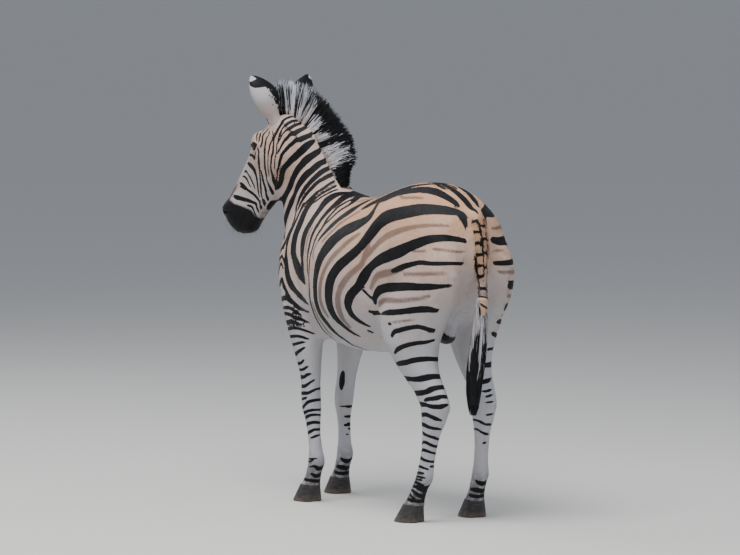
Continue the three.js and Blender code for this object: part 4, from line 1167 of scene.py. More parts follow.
# %% The skin's object
place = places(skin_mesh)
in_hoof = 1 - ease(place[:, 2], 0.058, 0.069)
which, _, _ = leg_place(place)
for index, name in enumerate(LEGS):
    here = (which == index) & (in_hoof > 0)
    middle = np.stack(leg_middle(name, place[here, 2]), 1)
    place[here, :2] = middle + (place[here, :2] - middle) * (1 - 0.18 * in_hoof[here, None])
    place[here, 2] += in_hoof[here] * (0.068 - place[here, 2]) * 0.35
put_back(skin_mesh, place)
skin_normals = outward(skin_mesh)
fields = markings(place, skin_normals)
skin = bpy.data.objects.new("skin", skin_mesh)
bpy.context.scene.collection.objects.link(skin)
skin_mesh.polygons.foreach_set("use_smooth", np.ones(len(skin_mesh.polygons), bool))
skin_mesh.materials.clear()
skin_mesh.materials.append(COAT_SKIN)
for name, values in fields.items():
    set_field(skin, name, values)
set_field(skin, "shade", np.zeros(len(place)))
skin_mesh.calc_loop_triangles()
EYES_AND_HOOVES = [n for n in flesh_names if n.startswith("eye") or n.endswith("hoof")]
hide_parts(*[n for n in flesh_names if n not in EYES_AND_HOOVES])
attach(skin, "root")
print("skin:", len(skin_mesh.loop_triangles), "triangles")

# %% [markdown]
# ## Eyes and hooves
#
# An eyeball is a sphere with a slightly raised cornea; its colours are rings measured from where it
# looks. A hoof is a stack of flattened ovals, wider at the ground, with the toe ahead.

# %% Grids of points
def grid_faces(rows, columns, closed=True):
    """Quads between rows of points laid one after another; closed joins the last column to the first."""
    row = np.arange(rows - 1)[:, None]
    column = np.arange(columns if closed else columns - 1)[None, :]
    after = (column + 1) % columns
    a, b = row * columns + column, row * columns + after
    return np.stack([a, b, b + columns, a + columns], -1).reshape(-1, 4)


def eyeball(way):
    """A ball round the eye's middle, its rows counted from the middle of the cornea."""
    centre, look, front, rise = EYE_LOOK[way]
    angle = np.linspace(0.0, math.pi, 40)[:, None]
    turn = np.linspace(0, 2 * math.pi, 64, endpoint=False)[None, :]
    radius = EYEBALL * (1 + 0.035 * bump(angle, 0, 0.62))
    out = (radius * np.cos(angle)) * np.ones_like(turn)
    u = radius * np.sin(angle) * np.cos(turn)
    v = radius * np.sin(angle) * np.sin(turn)
    points = centre + u[..., None] * front + v[..., None] * rise + out[..., None] * look
    faces = grid_faces(40, 64)
    if np.dot(np.cross(front, rise), look) < 0:
        faces = faces[:, ::-1]
    pupil = np.hypot(u / 0.0086, v / 0.0048)
    iris = np.hypot(u / 0.0150, v / 0.0128)
    return points.reshape(-1, 3), faces, pupil.ravel(), iris.ravel()


s = Shader("eye")
iris_colour = s.mix(s.ramp(s.noise(500, 3.0), -0.2, 0.2), srgb(30, 17, 11), srgb(50, 29, 17))
eye_colour = s.mix(s.ramp(s.field("pupil"), 0.9, 1.15), srgb(6, 6, 9), iris_colour)
eye_colour = s.mix(s.ramp(s.field("iris"), 0.86, 1.05), eye_colour, srgb(30, 19, 15))
EYE = s.finish(eye_colour, 0.06, Coat_Weight=0.35, Coat_Roughness=0.03, Specular_IOR_Level=0.4)
for way, name in ((1, "left"), (-1, "right")):
    points, faces, pupil, iris = eyeball(way)
    piece = make_piece(f"eyeball_{name}", points, faces, EYE)
    set_field(piece, "pupil", pupil)
    set_field(piece, "iris", iris)
    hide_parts(f"eye_{name}")
    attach(piece, "root")

# %% Hooves
HOOF_TOP = 0.072


def squared(angle, power):
    """Cosine and sine of a squared circle of that power."""
    c, s = np.cos(angle), np.sin(angle)
    return np.sign(c) * np.abs(c) ** (2 / power), np.sign(s) * np.abs(s) ** (2 / power)


def hoof(name):
    """Flattened ovals from the ground to the coronet, with faint growth rings, a sole and a closed top."""
    forward, left, _, _, _, at_foot, out, turn = LEGS[name]
    way = math.copysign(1, left)
    coronet = 0.050 if name[:4] == "fore" else 0.030
    angle = way * math.radians(turn)
    facing = np.array([math.cos(angle), math.sin(angle), 0])
    outer = np.array([-math.sin(angle), math.cos(angle), 0]) * way
    up = np.concatenate([[0.0, 0.0015], np.linspace(0.006, HOOF_TOP - 0.003, 26), [HOOF_TOP - 0.0005]])
    ahead = np.interp(up, [0, 0.005, 0.036, HOOF_TOP], [0.021, 0.019, 0.009, -0.002])
    half_long = np.interp(up, [0, 0.006, 0.036, HOOF_TOP], [0.0605, 0.0620, 0.0520, 0.0415])
    half_wide = np.interp(up, [0, 0.006, 0.036, HOOF_TOP], [0.0515, 0.0530, 0.0460, 0.0375])
    ring = 0.0005 * np.sin(up * 2 * math.pi / 0.009) * (up > 0.008)
    around = np.linspace(0, 2 * math.pi, 72, endpoint=False)
    c, s = squared(around, 2.3)
    shift = np.where(s > 0, 1.0, 0.92)
    heel = bump(around, 1.5 * math.pi, 0.22)
    long_way = (s[None] * shift[None] * (half_long + ring)[:, None]
                + 0.010 * heel[None] * (1 - up / HOOF_TOP)[:, None])
    wide_way = c[None] * (half_wide + ring)[:, None]
    foot = np.array([forward + at_foot, left + way * out, 0])
    points = foot + facing * (coronet + ahead[:, None] + long_way)[..., None] + outer * wide_way[..., None]
    points = points + np.array([0, 0, 1.0]) * up[:, None, None]
    sole = points[0].mean(0)
    rows = [sole + (points[0] - sole) * 0.02 + [0, 0, 0.004],
            sole + (points[0] - sole) * 0.86 + [0, 0, 0.003]]
    top = points[-1].mean(0)
    rows = [*rows, *points, top + (points[-1] - top) * 0.75, top + (points[-1] - top) * 0.02]
    points = np.stack(rows)
    faces = grid_faces(len(points), 72)
    return points.reshape(-1, 3), faces if way > 0 else faces[:, ::-1]


s = Shader("hoof")
height = s.add("ShaderNodeSeparateXYZ", Vector=s.add("ShaderNodeTexCoord").outputs["Object"]).outputs[2]
horn = s.mix(s.ramp(s.noise(40, 4.0, (1, 1, 4)), -0.2, 0.25), srgb(28, 25, 25), srgb(58, 53, 50))
dusty = s.ramp(s.sum(height, s.sum(s.noise(60, 3.0), -0.05, "MULTIPLY")), 0.0, 0.03, 1.0, 0.0)
horn = s.mix(s.sum(dusty, 0.65, "MULTIPLY"), horn, srgb(96, 84, 73))
HOOF = s.finish(horn, 0.55, s.noise(300, 3.0, (1, 1, 0.25)), 0.0006, 0.6)
for name in LEGS:
    points, faces = hoof(name)
    piece = make_piece(f"{name}_hoof_wall", points, faces, HOOF)
    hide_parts(f"{name}_hoof")
    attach(piece, "root")

# %% The scrotum
def blob(name, centre, radii, material, rows=24, columns=32):
    """A closed ellipsoid, a little narrower at its top."""
    angle = np.linspace(0, math.pi, rows)[:, None]
    turn = np.linspace(0, 2 * math.pi, columns, endpoint=False)[None]
    narrow = 1 - 0.22 * np.cos(angle)
    x = radii[0] * narrow * np.sin(angle) * np.cos(turn)
    y = radii[1] * narrow * np.sin(angle) * np.sin(turn) * (1 - 0.10 * np.abs(np.cos(turn)))
    z = radii[2] * np.cos(angle) + 0 * turn
    points = np.array(centre) + np.stack([x, y, z], -1).reshape(-1, 3)
    piece = make_piece(name, points, grid_faces(rows, columns)[:, ::-1], material)
    return piece


s = Shader("bare_skin")
BARE_SKIN = s.finish(srgb(26, 23, 25), 0.55, s.noise(120, 2.0), 0.0008)
scrotum = blob("scrotum", (-0.385, 0.0, 0.735), (0.046, 0.034, 0.042), BARE_SKIN)
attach(scrotum, "root")

# %% [markdown]
# ## Ears
#
# An ear is a leaf curled round its stem: one coordinate runs up the stem, the other from edge to
# edge round its back. The same function gives the back and, set in by the gristle, the hollow.

# %% Ears
EAR_TIP = {1: (0.014, 0.096, 0.166), -1: (0.016, -0.092, 0.167)}
EAR_TURN = {1: math.radians(-16), -1: math.radians(-5)}
EAR_ROWS = np.array([  # share of the length: half width, half depth, ahead of the stem
    (-0.16, 0.024, 0.026, 0.000), (0.00, 0.027, 0.028, 0.000), (0.20, 0.044, 0.033, -0.003),
    (0.42, 0.056, 0.035, -0.008), (0.62, 0.052, 0.029, -0.010), (0.80, 0.037, 0.021, -0.008),
    (0.93, 0.019, 0.011, -0.003), (0.985, 0.007, 0.005, 0.001), (1.00, 0.002, 0.002, 0.002),
])


def ear_frame(way):
    """Root, tip direction and length, front and across of an ear."""
    root = in_head(0.008, 0.060, way * 0.056)
    stem = np.array(EAR_TIP[way])
    length = np.linalg.norm(stem)
    axis = stem / length
    c, s = math.cos(EAR_TURN[way]), math.sin(EAR_TURN[way])
    front = np.array([HEADING[0] * c - HEADING[1] * s, HEADING[0] * s + HEADING[1] * c, 0])
    front -= axis * (front @ axis)
    front /= np.linalg.norm(front)
    return root, axis, length, front, np.cross(axis, front)


def ear_sheet(way, share, edge, inset=0.0):
    """Points of an ear: share of its length, edge from -1 to 1 round its back, set in by inset."""
    root, axis, length, front, across = ear_frame(way)
    curve = smooth_curve(EAR_ROWS, 10)
    half, deep, ahead = (np.interp(share, curve[:, 0], curve[:, k]) for k in (1, 2, 3))
    wrap = math.radians(122) - math.radians(14) * ease(share, 0.2, 0.8)
    angle = edge * wrap
    reach = np.maximum(half - inset, 0.0004)
    back = np.maximum(deep - inset, 0.0004)
    x = reach * np.sin(angle) - way * 0.008 * bump(share, 0.42, 0.30)
    y = -back * np.cos(angle) + ahead
    return root + axis * (share * length)[..., None] + across * x[..., None] + front * y[..., None]


def ear_fields(way, share, edge):
    """The ear's colours: pale, a black band below a white tip, dark specks on its inner side."""
    inner = edge * (-1 if way > 0 else 1)
    band = np.minimum(share - (0.70 - 0.20 * inner), (0.905 + 0.02 * np.abs(edge)) - share) * 0.19
    base = 0.006 - np.abs(share - 0.13) * 0.19 + 0.004 * np.sin(edge * 9)
    rim = (inner - 0.13) * 0.07 - 0.02 * (1 - ease(share, 0.14, 0.26))
    specks = 0.007 * np.sin(43 * share + 7 * edge) * np.sin(31 * edge + 17 * share) - 0.0035
    specks -= (0.02 * (1 - ease(inner, -0.16, -0.02)) + 0.02 * (1 - ease(share, 0.16, 0.26))
               + 0.02 * ease(share, 0.5, 0.6))
    pale = (0.010 * ease(np.sin(57 * share + 5 * edge) * np.sin(23 * edge + 31 * share), 0.45, 0.8)
            * (share < 0.6))
    rim = np.maximum(rim - pale, specks)
    return np.maximum(np.maximum(band, base * (inner > 0.2) - 0.02 * (inner <= 0.2)), rim)


def ear_shell(way):
    """The back, the rim and the hollow of one ear as one closed sheet of rows."""
    share = (1 - (1 - np.linspace(0, 1, 44)) ** 1.25) * 1.16 - 0.16
    edge = np.linspace(-1, 1, 49)
    back = ear_sheet(way, share[:, None] + 0 * edge, 0 * share[:, None] + edge)
    hollow = ear_sheet(way, np.minimum(share, 0.993)[:, None] + 0 * edge[::-1],
                       0 * share[:, None] + edge[::-1] * 0.985, 0.0038)
    points = np.concatenate([back, hollow], axis=1)
    edges = np.concatenate([edge, edge[::-1]])[None] + 0 * share[:, None]
    shares = share[:, None] + 0 * edges
    inside_mark = np.concatenate([0 * edge, 0 * edge + 1])[None] + 0 * share[:, None]
    return (points.reshape(-1, 3), grid_faces(len(share), 2 * len(edge)), shares.ravel(), edges.ravel(),
            inside_mark.ravel())


for way, name in ((1, "left"), (-1, "right")):
    points, faces, share, edge, hollow = ear_shell(way)
    root, axis, length, front, across = ear_frame(way)
    piece = make_piece(f"ear_{name}_skin", points, faces, COAT_SKIN)
    centre = points.mean(0)
    normals = outward(piece.data)
    back_side = (hollow < 0.5) & (np.abs(edge) < 0.3) & (share > 0.2) & (share < 0.8)
    if (normals[back_side] @ front).mean() > 0:
        piece.data.flip_normals()
    colour = np.where(hollow > 0.5, np.where(share > 0.62, 0.004, -0.02), ear_fields(way, share, edge))
    tones = np.where(hollow > 0.5, 0.75 - 0.4 * share, 0.42 - 0.35 * np.clip(share, 0, 1))
    for field, values in (("black", colour), ("across", 0 * share), ("tone", tones),
                          ("shadow", hollow * 0.004 * (share < 0.5) - 0.012),
                          ("muzzle", 0 * share - 0.05), ("rust", 0 * share), ("low", 0 * share),
                          ("shade", 0 * share)):
        set_field(piece, field, values)
    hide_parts(f"ear_{name}")
    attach(piece, "root")
print("eyes, hooves and ears made")

# %% [markdown]
# ## The lie of the coat
#
# Hair lies back along the trunk, down the legs and neck, and down the face. The direction at a place
# is a blend of a few plain directions, laid flat on the surface.

# %% The lie of the coat
def flat(vectors, normals):
    """The vectors with their part along the normals taken out, at unit length."""
    vectors = vectors - normals * (vectors * normals).sum(1, keepdims=True)
    return vectors / np.maximum(np.linalg.norm(vectors, axis=1, keepdims=True), 1e-9)


def lie(points, normals):
    """The direction in which the hair lies."""
    forward, left, up = points.T
    side = np.sign(left)
    trunk = np.stack([-0.95 + 0 * up, 0.10 * side, -0.30 - 0.25 * ease(-forward, 0.2, 0.5)], 1)
    haunch = np.stack([-0.30 + 0 * up, 0.05 * side, -0.95 + 0 * up], 1)
    leg = np.stack([-0.06 + 0 * up, 0 * up, -1.0 + 0 * up], 1)
    neck = np.stack([-0.55 + 0 * up, 0 * up, -0.80 + 0 * up], 1)
    face = ALONG[None] + 0.15 * ABOVE[None] * 0
    rear = (ease(-forward, 0.38, 0.56) * ease(-up, -1.22, -1.0))[:, None]
    way = trunk * (1 - rear) + haunch * rear
    front = (ease(forward, 0.36, 0.56) * ease(up, 0.9, 1.1))[:, None]
    way = way * (1 - front) + neck * front
    low = (1 - ease(up, 0.66, 0.84))[:, None]
    way = way * (1 - low) + leg * low
    head = head_share(points)[:, None]
    way = way * (1 - head) + face * head
    return flat(way, normals)


# %% [markdown]
# ## The short coat
#
# The coat's tufts are thin three-sided blades that lie along the body and overlap like thatch. Their
# roots are strewn over the skin by area, closer together and smaller on the face and feet.

# %% Where a root lies on an unwrap of the skin's own shape
def unwrap(points, normals):
    """A place in the unit square for each root: flanks, legs, cheeks and forehead lie side by side."""
    a, b = unrolled(points)
    along, above, aside = head_place(points).T
    which, around, _ = leg_place(points)
    head, leg = head_share(points) > 0.5, points[:, 2] < 0.60
    u, v = a + 0.69, b - 0.42
    v = np.where(points[:, 1] < 0, v + 1.20, v)
    u = np.where(leg, 1.60 + (which % 3) * 0.26 + around, u)
    v = np.where(leg, points[:, 2] + 0.02 + (which == 3) * 0.62, v)
    v = np.where(leg & (which == 3), points[:, 2] + 0.64, v)
    u = np.where(head, 1.74 + along * 0.95, u)
    v = np.where(head, 0.90 + above + np.where(aside > 0, 0.0, 0.30), v)
    brow = head & (normals @ ABOVE > 0.75)
    v = np.where(brow, 1.50 + aside, v)
    under = head & (normals @ ABOVE < -0.75)
    v = np.where(under, 1.78 + aside, v)
    return np.stack([u, v], 1) / 2.42


# %% Blades: bundles of thin three-sided hairs
def blades(paths, sides, rises, widths, thick):
    """Three-sided prisms along paths (count, stations, 3), ending in a point: points and faces."""
    count, stations, _ = paths.shape
    half = sides * (widths / 2)[..., None]
    deep = rises * (widths * thick)[..., None]
    rings = np.stack([paths - half, paths + half, paths + deep], 2)
    points = rings.reshape(-1, 3)
    block = stations * 3
    start = (np.arange(count) * block)[:, None, None]
    step = (np.arange(stations - 1) * 3)[None, :, None]
    corner = start + step
    quads = []
    for a, b in ((0, 1), (1, 2), (2, 0)):
        quads.append(np.concatenate([corner + b, corner + a, corner + 3 + a, corner + 3 + b],
                                    -1).reshape(-1, 4))
    root = np.arange(count)[:, None] * block
    caps = [np.concatenate([root + 0, root + 1, root + 2], 1),
            np.concatenate([root, root + 2, root + 1], 1) + block - 3]
    return points, [np.concatenate(quads), np.concatenate(caps)]


def tufts(roots, normals, ways, length, width, lift, rng):
    """Blades of seven points: a three-sided root and middle, and a tip; lying flat along `ways`."""
    count = len(roots)
    swing = rng.normal(0, 0.16, count)[:, None]
    side = np.cross(ways, normals)
    ways = ways * np.cos(swing) + side * np.sin(swing)
    side = np.cross(ways, normals)
    curl = rng.normal(0, 0.05, count)[:, None] * length[:, None]
    middle = roots + ways * (0.45 * length)[:, None] + normals * lift[:, None] + side * curl
    tip = roots + ways * length[:, None] + normals * (lift * 0.55)[:, None] - side * curl
    root = roots - normals * 0.0012
    w = (width / 2)[:, None]
    rim = (width * 0.22)[:, None]
    points = np.stack([
        root - side * w * 0.75, root + side * w * 0.75, root + normals * rim,
        middle - side * w, middle + side * w, middle + normals * rim, tip,
    ], 1)
    lean = np.stack([normals - side * 0.5, normals + side * 0.5, normals,
                     normals - side * 0.5, normals + side * 0.5,
                     normals + ways * 0.1, normals + ways * 0.2], 1)
    base = (np.arange(count) * 7)[:, None]
    quads = [base + [[1, 0, 3, 4]], base + [[2, 1, 4, 5]], base + [[0, 2, 5, 3]]]
    tris = [base + [[0, 1, 2]], base + [[3, 6, 4]], base + [[4, 6, 5]], base + [[5, 6, 3]]]
    return points.reshape(-1, 3), lean.reshape(-1, 3), [np.concatenate(quads), np.concatenate(tris)]


PATCH = np.array([(-1, -1), (1, -1), (0, -0.9), (-0.8, 0), (0.8, 0), (0, 0.1), (0, 1)]) * 0.0015


def set_patches(piece, spots, patch):
    """The OFBake map: each blade's points laid out as one small patch at its root's place."""
    layer = piece.data.uv_layers.new(name="OFBake")
    corners = np.zeros(len(piece.data.loops), np.int32)
    piece.data.loops.foreach_get("vertex_index", corners)
    spread = (spots[:, None, :] + patch[None]).reshape(-1, 2)
    layer.data.foreach_set("uv", spread[corners].astype(np.float32).ravel())


def lean_normals(piece, normals):
    """Gives the blades normals close to the skin's, so that the coat shades as one surface."""
    turned = np.stack([normals[:, 1], -normals[:, 0], normals[:, 2]], 1)
    turned /= np.linalg.norm(turned, axis=1, keepdims=True)
    piece.data.normals_split_custom_set_from_vertices(turned.astype(np.float32).tolist())


# %% Roots over the skin
rng = np.random.default_rng(7)
tri = np.zeros(len(skin_mesh.loop_triangles) * 3, np.int32)
skin_mesh.loop_triangles.foreach_get("vertices", tri)
tri = tri.reshape(-1, 3)
corner = place[tri]
area = np.linalg.norm(np.cross(corner[:, 1] - corner[:, 0], corner[:, 2] - corner[:, 0]), axis=1) / 2
middle = corner.mean(1)


def fineness(points):
    """Length of the hair at a place as a share of the trunk's: small on the face and feet."""
    along = head_place(points)[:, 0]
    head = head_share(points)
    leg = 1 - ease(points[:, 2], 0.50, 0.85)
    neck = ease(points[:, 0], 0.26, 0.40) * ease(points[:, 2], 0.95, 1.10)
    size = 1.0 - 0.45 * leg - 0.38 * neck
    size = size * (1 - head) + head * (0.62 - 0.22 * ease(along, 0.15, 0.42))
    return np.maximum(size, 0.34)


size = fineness(middle)
bald = np.zeros(len(middle), bool)
for way in (1, -1):
    gap, reach = eye_gap(middle, way)
    bald |= (reach < 0.05) & (gap < 0.0035)
bald |= near_nostril(middle) & (head_place(middle)[:, 0] > 0.478)
bald |= middle[:, 2] < 0.070
weight = area / (size * np.maximum(size, 0.5)) * ~bald
TUFTS = 112000
pick = rng.choice(len(tri), TUFTS, p=weight / weight.sum())
share = rng.dirichlet((1, 1, 1), TUFTS)
roots = (corner[pick] * share[..., None]).sum(1)
root_normals = (skin_normals[tri[pick]] * share[..., None]).sum(1)
root_normals /= np.linalg.norm(root_normals, axis=1, keepdims=True)
print("skin area", round(float(area.sum()), 2), "square metres,", TUFTS, "tufts")

# %% The short coat, in pieces by region
root_size = fineness(roots)
ways = lie(roots, root_normals)
length = 0.0145 * root_size * rng.uniform(0.75, 1.25, TUFTS)
width = 0.0034 * root_size ** 0.8 * rng.uniform(0.7, 1.2, TUFTS)
lift = (0.0005 + 0.0009 * root_size) * rng.uniform(0.3, 1.0, TUFTS)
on_tail = on_dock(roots)[0]
length *= 1 + 0.3 * on_tail
lift += 0.0042 * on_tail
shade = rng.normal(0, 0.04, TUFTS)
spots = unwrap(roots, root_normals)
stations = [markings(roots + ways * (length * share)[:, None], root_normals) for share in (0.0, 0.42, 0.90)]
head_mask = head_share(roots) > 0.3
part = np.where(roots[:, 0] > 0.33, "shoulder", np.where(roots[:, 0] > -0.12, "barrel", "croup"))
part = np.where(roots[:, 2] < 0.62, np.where(roots[:, 0] > 0, "foreleg", "hindleg"), part)
part = np.where(head_mask, "head", part)
side = np.where(head_mask, head_place(roots)[:, 2], roots[:, 1])
region = np.char.add(part, np.where(side > 0, "_left", "_right"))
for name in np.unique(region):
    take = np.nonzero(region == name)[0]
    points, lean, faces = tufts(roots[take], root_normals[take], ways[take], length[take], width[take],
                                lift[take], rng)
    piece = make_piece(f"coat_{name}", points, faces, COAT_HAIR)
    for field in stations[0]:
        values = np.stack([stations[k][field] for k in (0, 0, 0, 1, 1, 1, 2)], 1)
        set_field(piece, field, values[take].ravel())
    set_field(piece, "shade", np.repeat(shade[take], 7))
    set_patches(piece, spots[take], PATCH)
    lean_normals(piece, lean)
    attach(piece, "root")
    print(f"coat_{name}:", len(take), "tufts,", len(take) * 10, "triangles")

# %% [markdown]
# ## The mane
#
# Roots stand along the crest of the neck, five or so across. Each lock rises along the crest's own
# outward direction. The pale and black bands of the neck run on up the mane, and the outer fringe
# is black over the lower two thirds.

# %% The crest
middle, way, side, rise = neck_frame(CREST_SHARE)
CREST = np.vstack([middle + rise * CREST_OUT[:, None],
                   [in_head(-0.022, 0.062, 0), in_head(0.030, 0.072, 0), in_head(0.070, 0.079, 0)]])
RISES = np.vstack([rise, [ABOVE - 0.75 * ALONG, ABOVE - 0.62 * ALONG, ABOVE - 0.50 * ALONG]])
RISES /= np.linalg.norm(RISES, axis=1, keepdims=True)
crest_curve, rise_curve = smooth_curve(CREST, 16), smooth_curve(RISES, 16)
crest_run = np.linspace(0, 1, len(crest_curve))
crest_arc = np.concatenate([[0], np.cumsum(np.linalg.norm(np.diff(crest_curve, axis=0), axis=1))])
print("crest:", round(crest_arc[-1], 3), "m; arc at steps of t:",
      np.interp(np.linspace(0, 1, 11), crest_run, crest_arc).round(3))


def on_crest(t):
    """Root line and outward, run and side directions of the mane at t, from its rear to the forelock."""
    spot = np.stack([np.interp(t, crest_run, crest_curve[:, k]) for k in range(3)], 1)
    out = np.stack([np.interp(t, crest_run, rise_curve[:, k]) for k in range(3)], 1)
    out /= np.linalg.norm(out, axis=1, keepdims=True)
    a, b = np.clip(t - 0.01, 0, 1), np.clip(t + 0.01, 0, 1)
    run = np.stack([np.interp(b, crest_run, crest_curve[:, k]) - np.interp(a, crest_run, crest_curve[:, k])
                    for k in range(3)], 1)
    run /= np.linalg.norm(run, axis=1, keepdims=True)
    side = np.cross(out, run)
    side /= np.linalg.norm(side, axis=1, keepdims=True)
    return spot, out, run, side


MANE_HEIGHT = ([0, 0.1, 0.2, 0.3, 0.4, 0.65, 0.70, 0.76, 1],
               [0.022, 0.050, 0.088, 0.142, 0.166, 0.164, 0.132, 0.098, 0.068])
MANE_BLACK = [  # place along the crest from its rear, and half width in millimetres
    (0.388, 1.5), (0.535, 14), (0.600, 6), (0.629, 6.5), (0.645, 5), (0.662, 6.5), (0.686, 4.5), (0.700, 3),
    (0.715, 5),
    (0.735, 4), (0.76, 5.5), (0.79, 4.5), (0.82, 4), (0.86, 4), (0.90, 4), (0.95, 4),
]
FRINGE = ([0, 0.10, 0.15, 0.25, 0.28, 0.33, 0.40, 0.50, 0.56, 0.58, 0.595, 0.608, 0.62, 0.64, 0.66, 0.70, 1],
          [-0.3, -0.1, 0.05, 0.10, 0.30, 0.82, 0.74, 0.62, 0.50, 0.46, 0.20, 0.42, 0.52, 0.80, 0.92, 1.15,
           1.2])


def mane_black(t, reach):
    """How deep in black a place on the mane is: bands along the crest, and a fringe over them."""
    arc = np.interp(t, crest_run, crest_arc)
    bands = np.full(np.shape(t), -0.03)
    for at, half in MANE_BLACK:
        bands = np.maximum(bands, half / 1000 - np.abs(arc - np.interp(at, crest_run, crest_arc)))
    return np.maximum(bands - 0.002 * ease(reach, 0.5, 0.9), (reach - np.interp(t, *FRINGE)) * 0.06)


# %% The mane's core and its locks
def mane_core():
    """A thin fin inside the locks, so that no light shows through."""
    t = np.interp(np.linspace(0.0, 0.99, 110) * crest_arc[-1], crest_arc, crest_run)
    spot, out, _, side = on_crest(t)
    height = np.interp(t, *MANE_HEIGHT) * 0.60
    level = np.linspace(-0.02, 1, 14)
    half = 0.017 * (1 - 0.72 * np.clip(level, 0, 1))
    up_way = level[None, :] * height[:, None]
    ripple = 1 + 0.10 * np.sin(t * 260)[:, None] * level[None]
    left_side = (spot[:, None] + out[:, None] * (up_way * ripple)[..., None]
                 + side[:, None] * half[None, :, None])
    right_side = (spot[:, None] + out[:, None] * (up_way * ripple)[..., None]
                  - side[:, None] * half[None, :, None])
    points = np.concatenate([left_side, right_side[:, ::-1]], 1)
    reach = np.concatenate([level, level[::-1]])[None] + 0 * t[:, None]
    return points, t[:, None] + 0 * reach, reach


points, t, reach = mane_core()
rows, columns = t.shape
faces = grid_faces(rows, columns)
ends = np.arange(columns)
caps = [np.stack([ends[:-1], ends[1:], ends[::-1][1:], ends[::-1][:-1]], 1)[: columns // 2 - 1]]
caps.append(caps[0][:, ::-1] + (rows - 1) * columns)
core = make_piece("mane_core", points.reshape(-1, 3), [faces, np.concatenate(caps)], COAT_HAIR)
bm = bmesh.new()
bm.from_mesh(core.data)
bmesh.ops.recalc_face_normals(bm, faces=bm.faces)
bm.to_mesh(core.data)
bm.free()
BLANK = {"across": 0.0, "shadow": -0.02, "muzzle": -0.05, "rust": 0.0, "low": 0.0}


def set_fields(piece, **values):
    """The coat's fields on a piece that isn't skin; what isn't given is blank."""
    count = len(piece.data.vertices)
    for name, value in {**BLANK, "shade": 0.0, "tone": 0.3, **values}.items():
        flat = np.asarray(value, float).ravel() if np.ndim(value) else value
        set_field(piece, name, np.broadcast_to(flat, count))


set_fields(core, black=mane_black(t, reach * 0.62), tone=0.25)

LOCKS = 4200
STATIONS = 6
t = np.interp(np.sort(rng.uniform(0.0, 1.0, LOCKS)) * crest_arc[-1], crest_arc, crest_run)
across = rng.uniform(-1, 1, LOCKS)
spot, out, run, side = on_crest(t)
full = np.interp(t, *MANE_HEIGHT)
arc = np.interp(t, crest_run, crest_arc)
clump = 0.5 + 0.5 * np.sin(arc * 330 + 2.0 * np.sin(arc * 97))
tall = (full * (1.0 - 0.10 * clump * rng.uniform(0.3, 1, LOCKS) - 0.08 * np.abs(across) ** 2)
        * rng.uniform(0.88, 1.0, LOCKS))
share = np.linspace(0, 1, STATIONS)[None, :]
base = spot + side * (across * 0.019)[:, None] - out * (0.010 + 0.006 * across**2)[:, None]
lean_back = -run * (0.10 * np.interp(t, [0, 0.3, 1], [0.2, 0.3, -0.2]) + rng.normal(0, 0.07, LOCKS))[:, None]
inward = -side * (across * 0.009)[:, None]
fan = side * (rng.normal(0, 0.004, LOCKS))[:, None]
path = base[:, None] + (out + lean_back)[:, None] * ((tall + 0.012)[:, None] * share)[..., None]
path = path + (inward + fan)[:, None] * (share**1.6)[..., None]
path = path + run[:, None] * (rng.normal(0, 0.005, LOCKS)[:, None] * np.sin(share * 2.4))[..., None]
face_out = side * np.where(across > 0, 1, -1)[:, None]
face_out = face_out + 0 * out
wide = run
widths = (0.0050 * rng.uniform(0.6, 1.25, LOCKS)[:, None]
          * np.interp(share, [0, 0.3, 0.75, 1], [0.8, 1.0, 0.75, 0.12]))
order = np.broadcast_to(np.sign(across)[:, None, None] * wide[:, None], path.shape)
points, faces = blades(path, order, np.broadcast_to(face_out[:, None], path.shape), widths, 0.35)
mane = make_piece("mane_locks", points, faces, COAT_HAIR)
reach = np.repeat(np.broadcast_to(share * (tall / full)[:, None], (LOCKS, STATIONS)).ravel(), 3)
near_by = np.interp(arc + rng.normal(0, 0.0022, LOCKS), crest_arc, crest_run)
t_all = np.repeat(near_by, STATIONS * 3)
dark_streak = np.where(rng.uniform(0, 1, LOCKS) < 0.38 * ease(t, 0.665, 0.71), 0.01, -0.03)
ragged = reach + np.repeat(rng.normal(0, 0.09, LOCKS), STATIONS * 3)
set_fields(mane, black=np.maximum(mane_black(t_all, ragged), np.repeat(dark_streak, STATIONS * 3)),
           tone=0.45 * (1 - reach) ** 3,
           shade=np.repeat(rng.normal(0.10, 0.08, LOCKS)
                           - 0.50 * ease(t, 0.665, 0.71) * rng.uniform(0, 1, LOCKS), STATIONS * 3))
lock_patch = np.stack([np.tile([-0.0015, 0.0015, 0.0], STATIONS),
                       np.repeat(np.linspace(0, 0.012, STATIONS), 3)], 1)
set_patches(mane, np.stack([0.01 + 0.98 * t, 0.05 + 0.88 * (0.5 + 0.5 * across)], 1), lock_patch)
for piece in (core, mane):
    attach(piece, "root")
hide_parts("mane")
print("mane:", LOCKS, "locks,", LOCKS * (STATIONS - 1) * 6, "triangles")

# %% [markdown]
# ## The tail's hair
#
# Hairs leave the lower half of the dock and hang along the tail's own line, spreading to the tuft's
# width and drawing in to its tip. The upper ones are streaked pale and dark, the tuft is black.

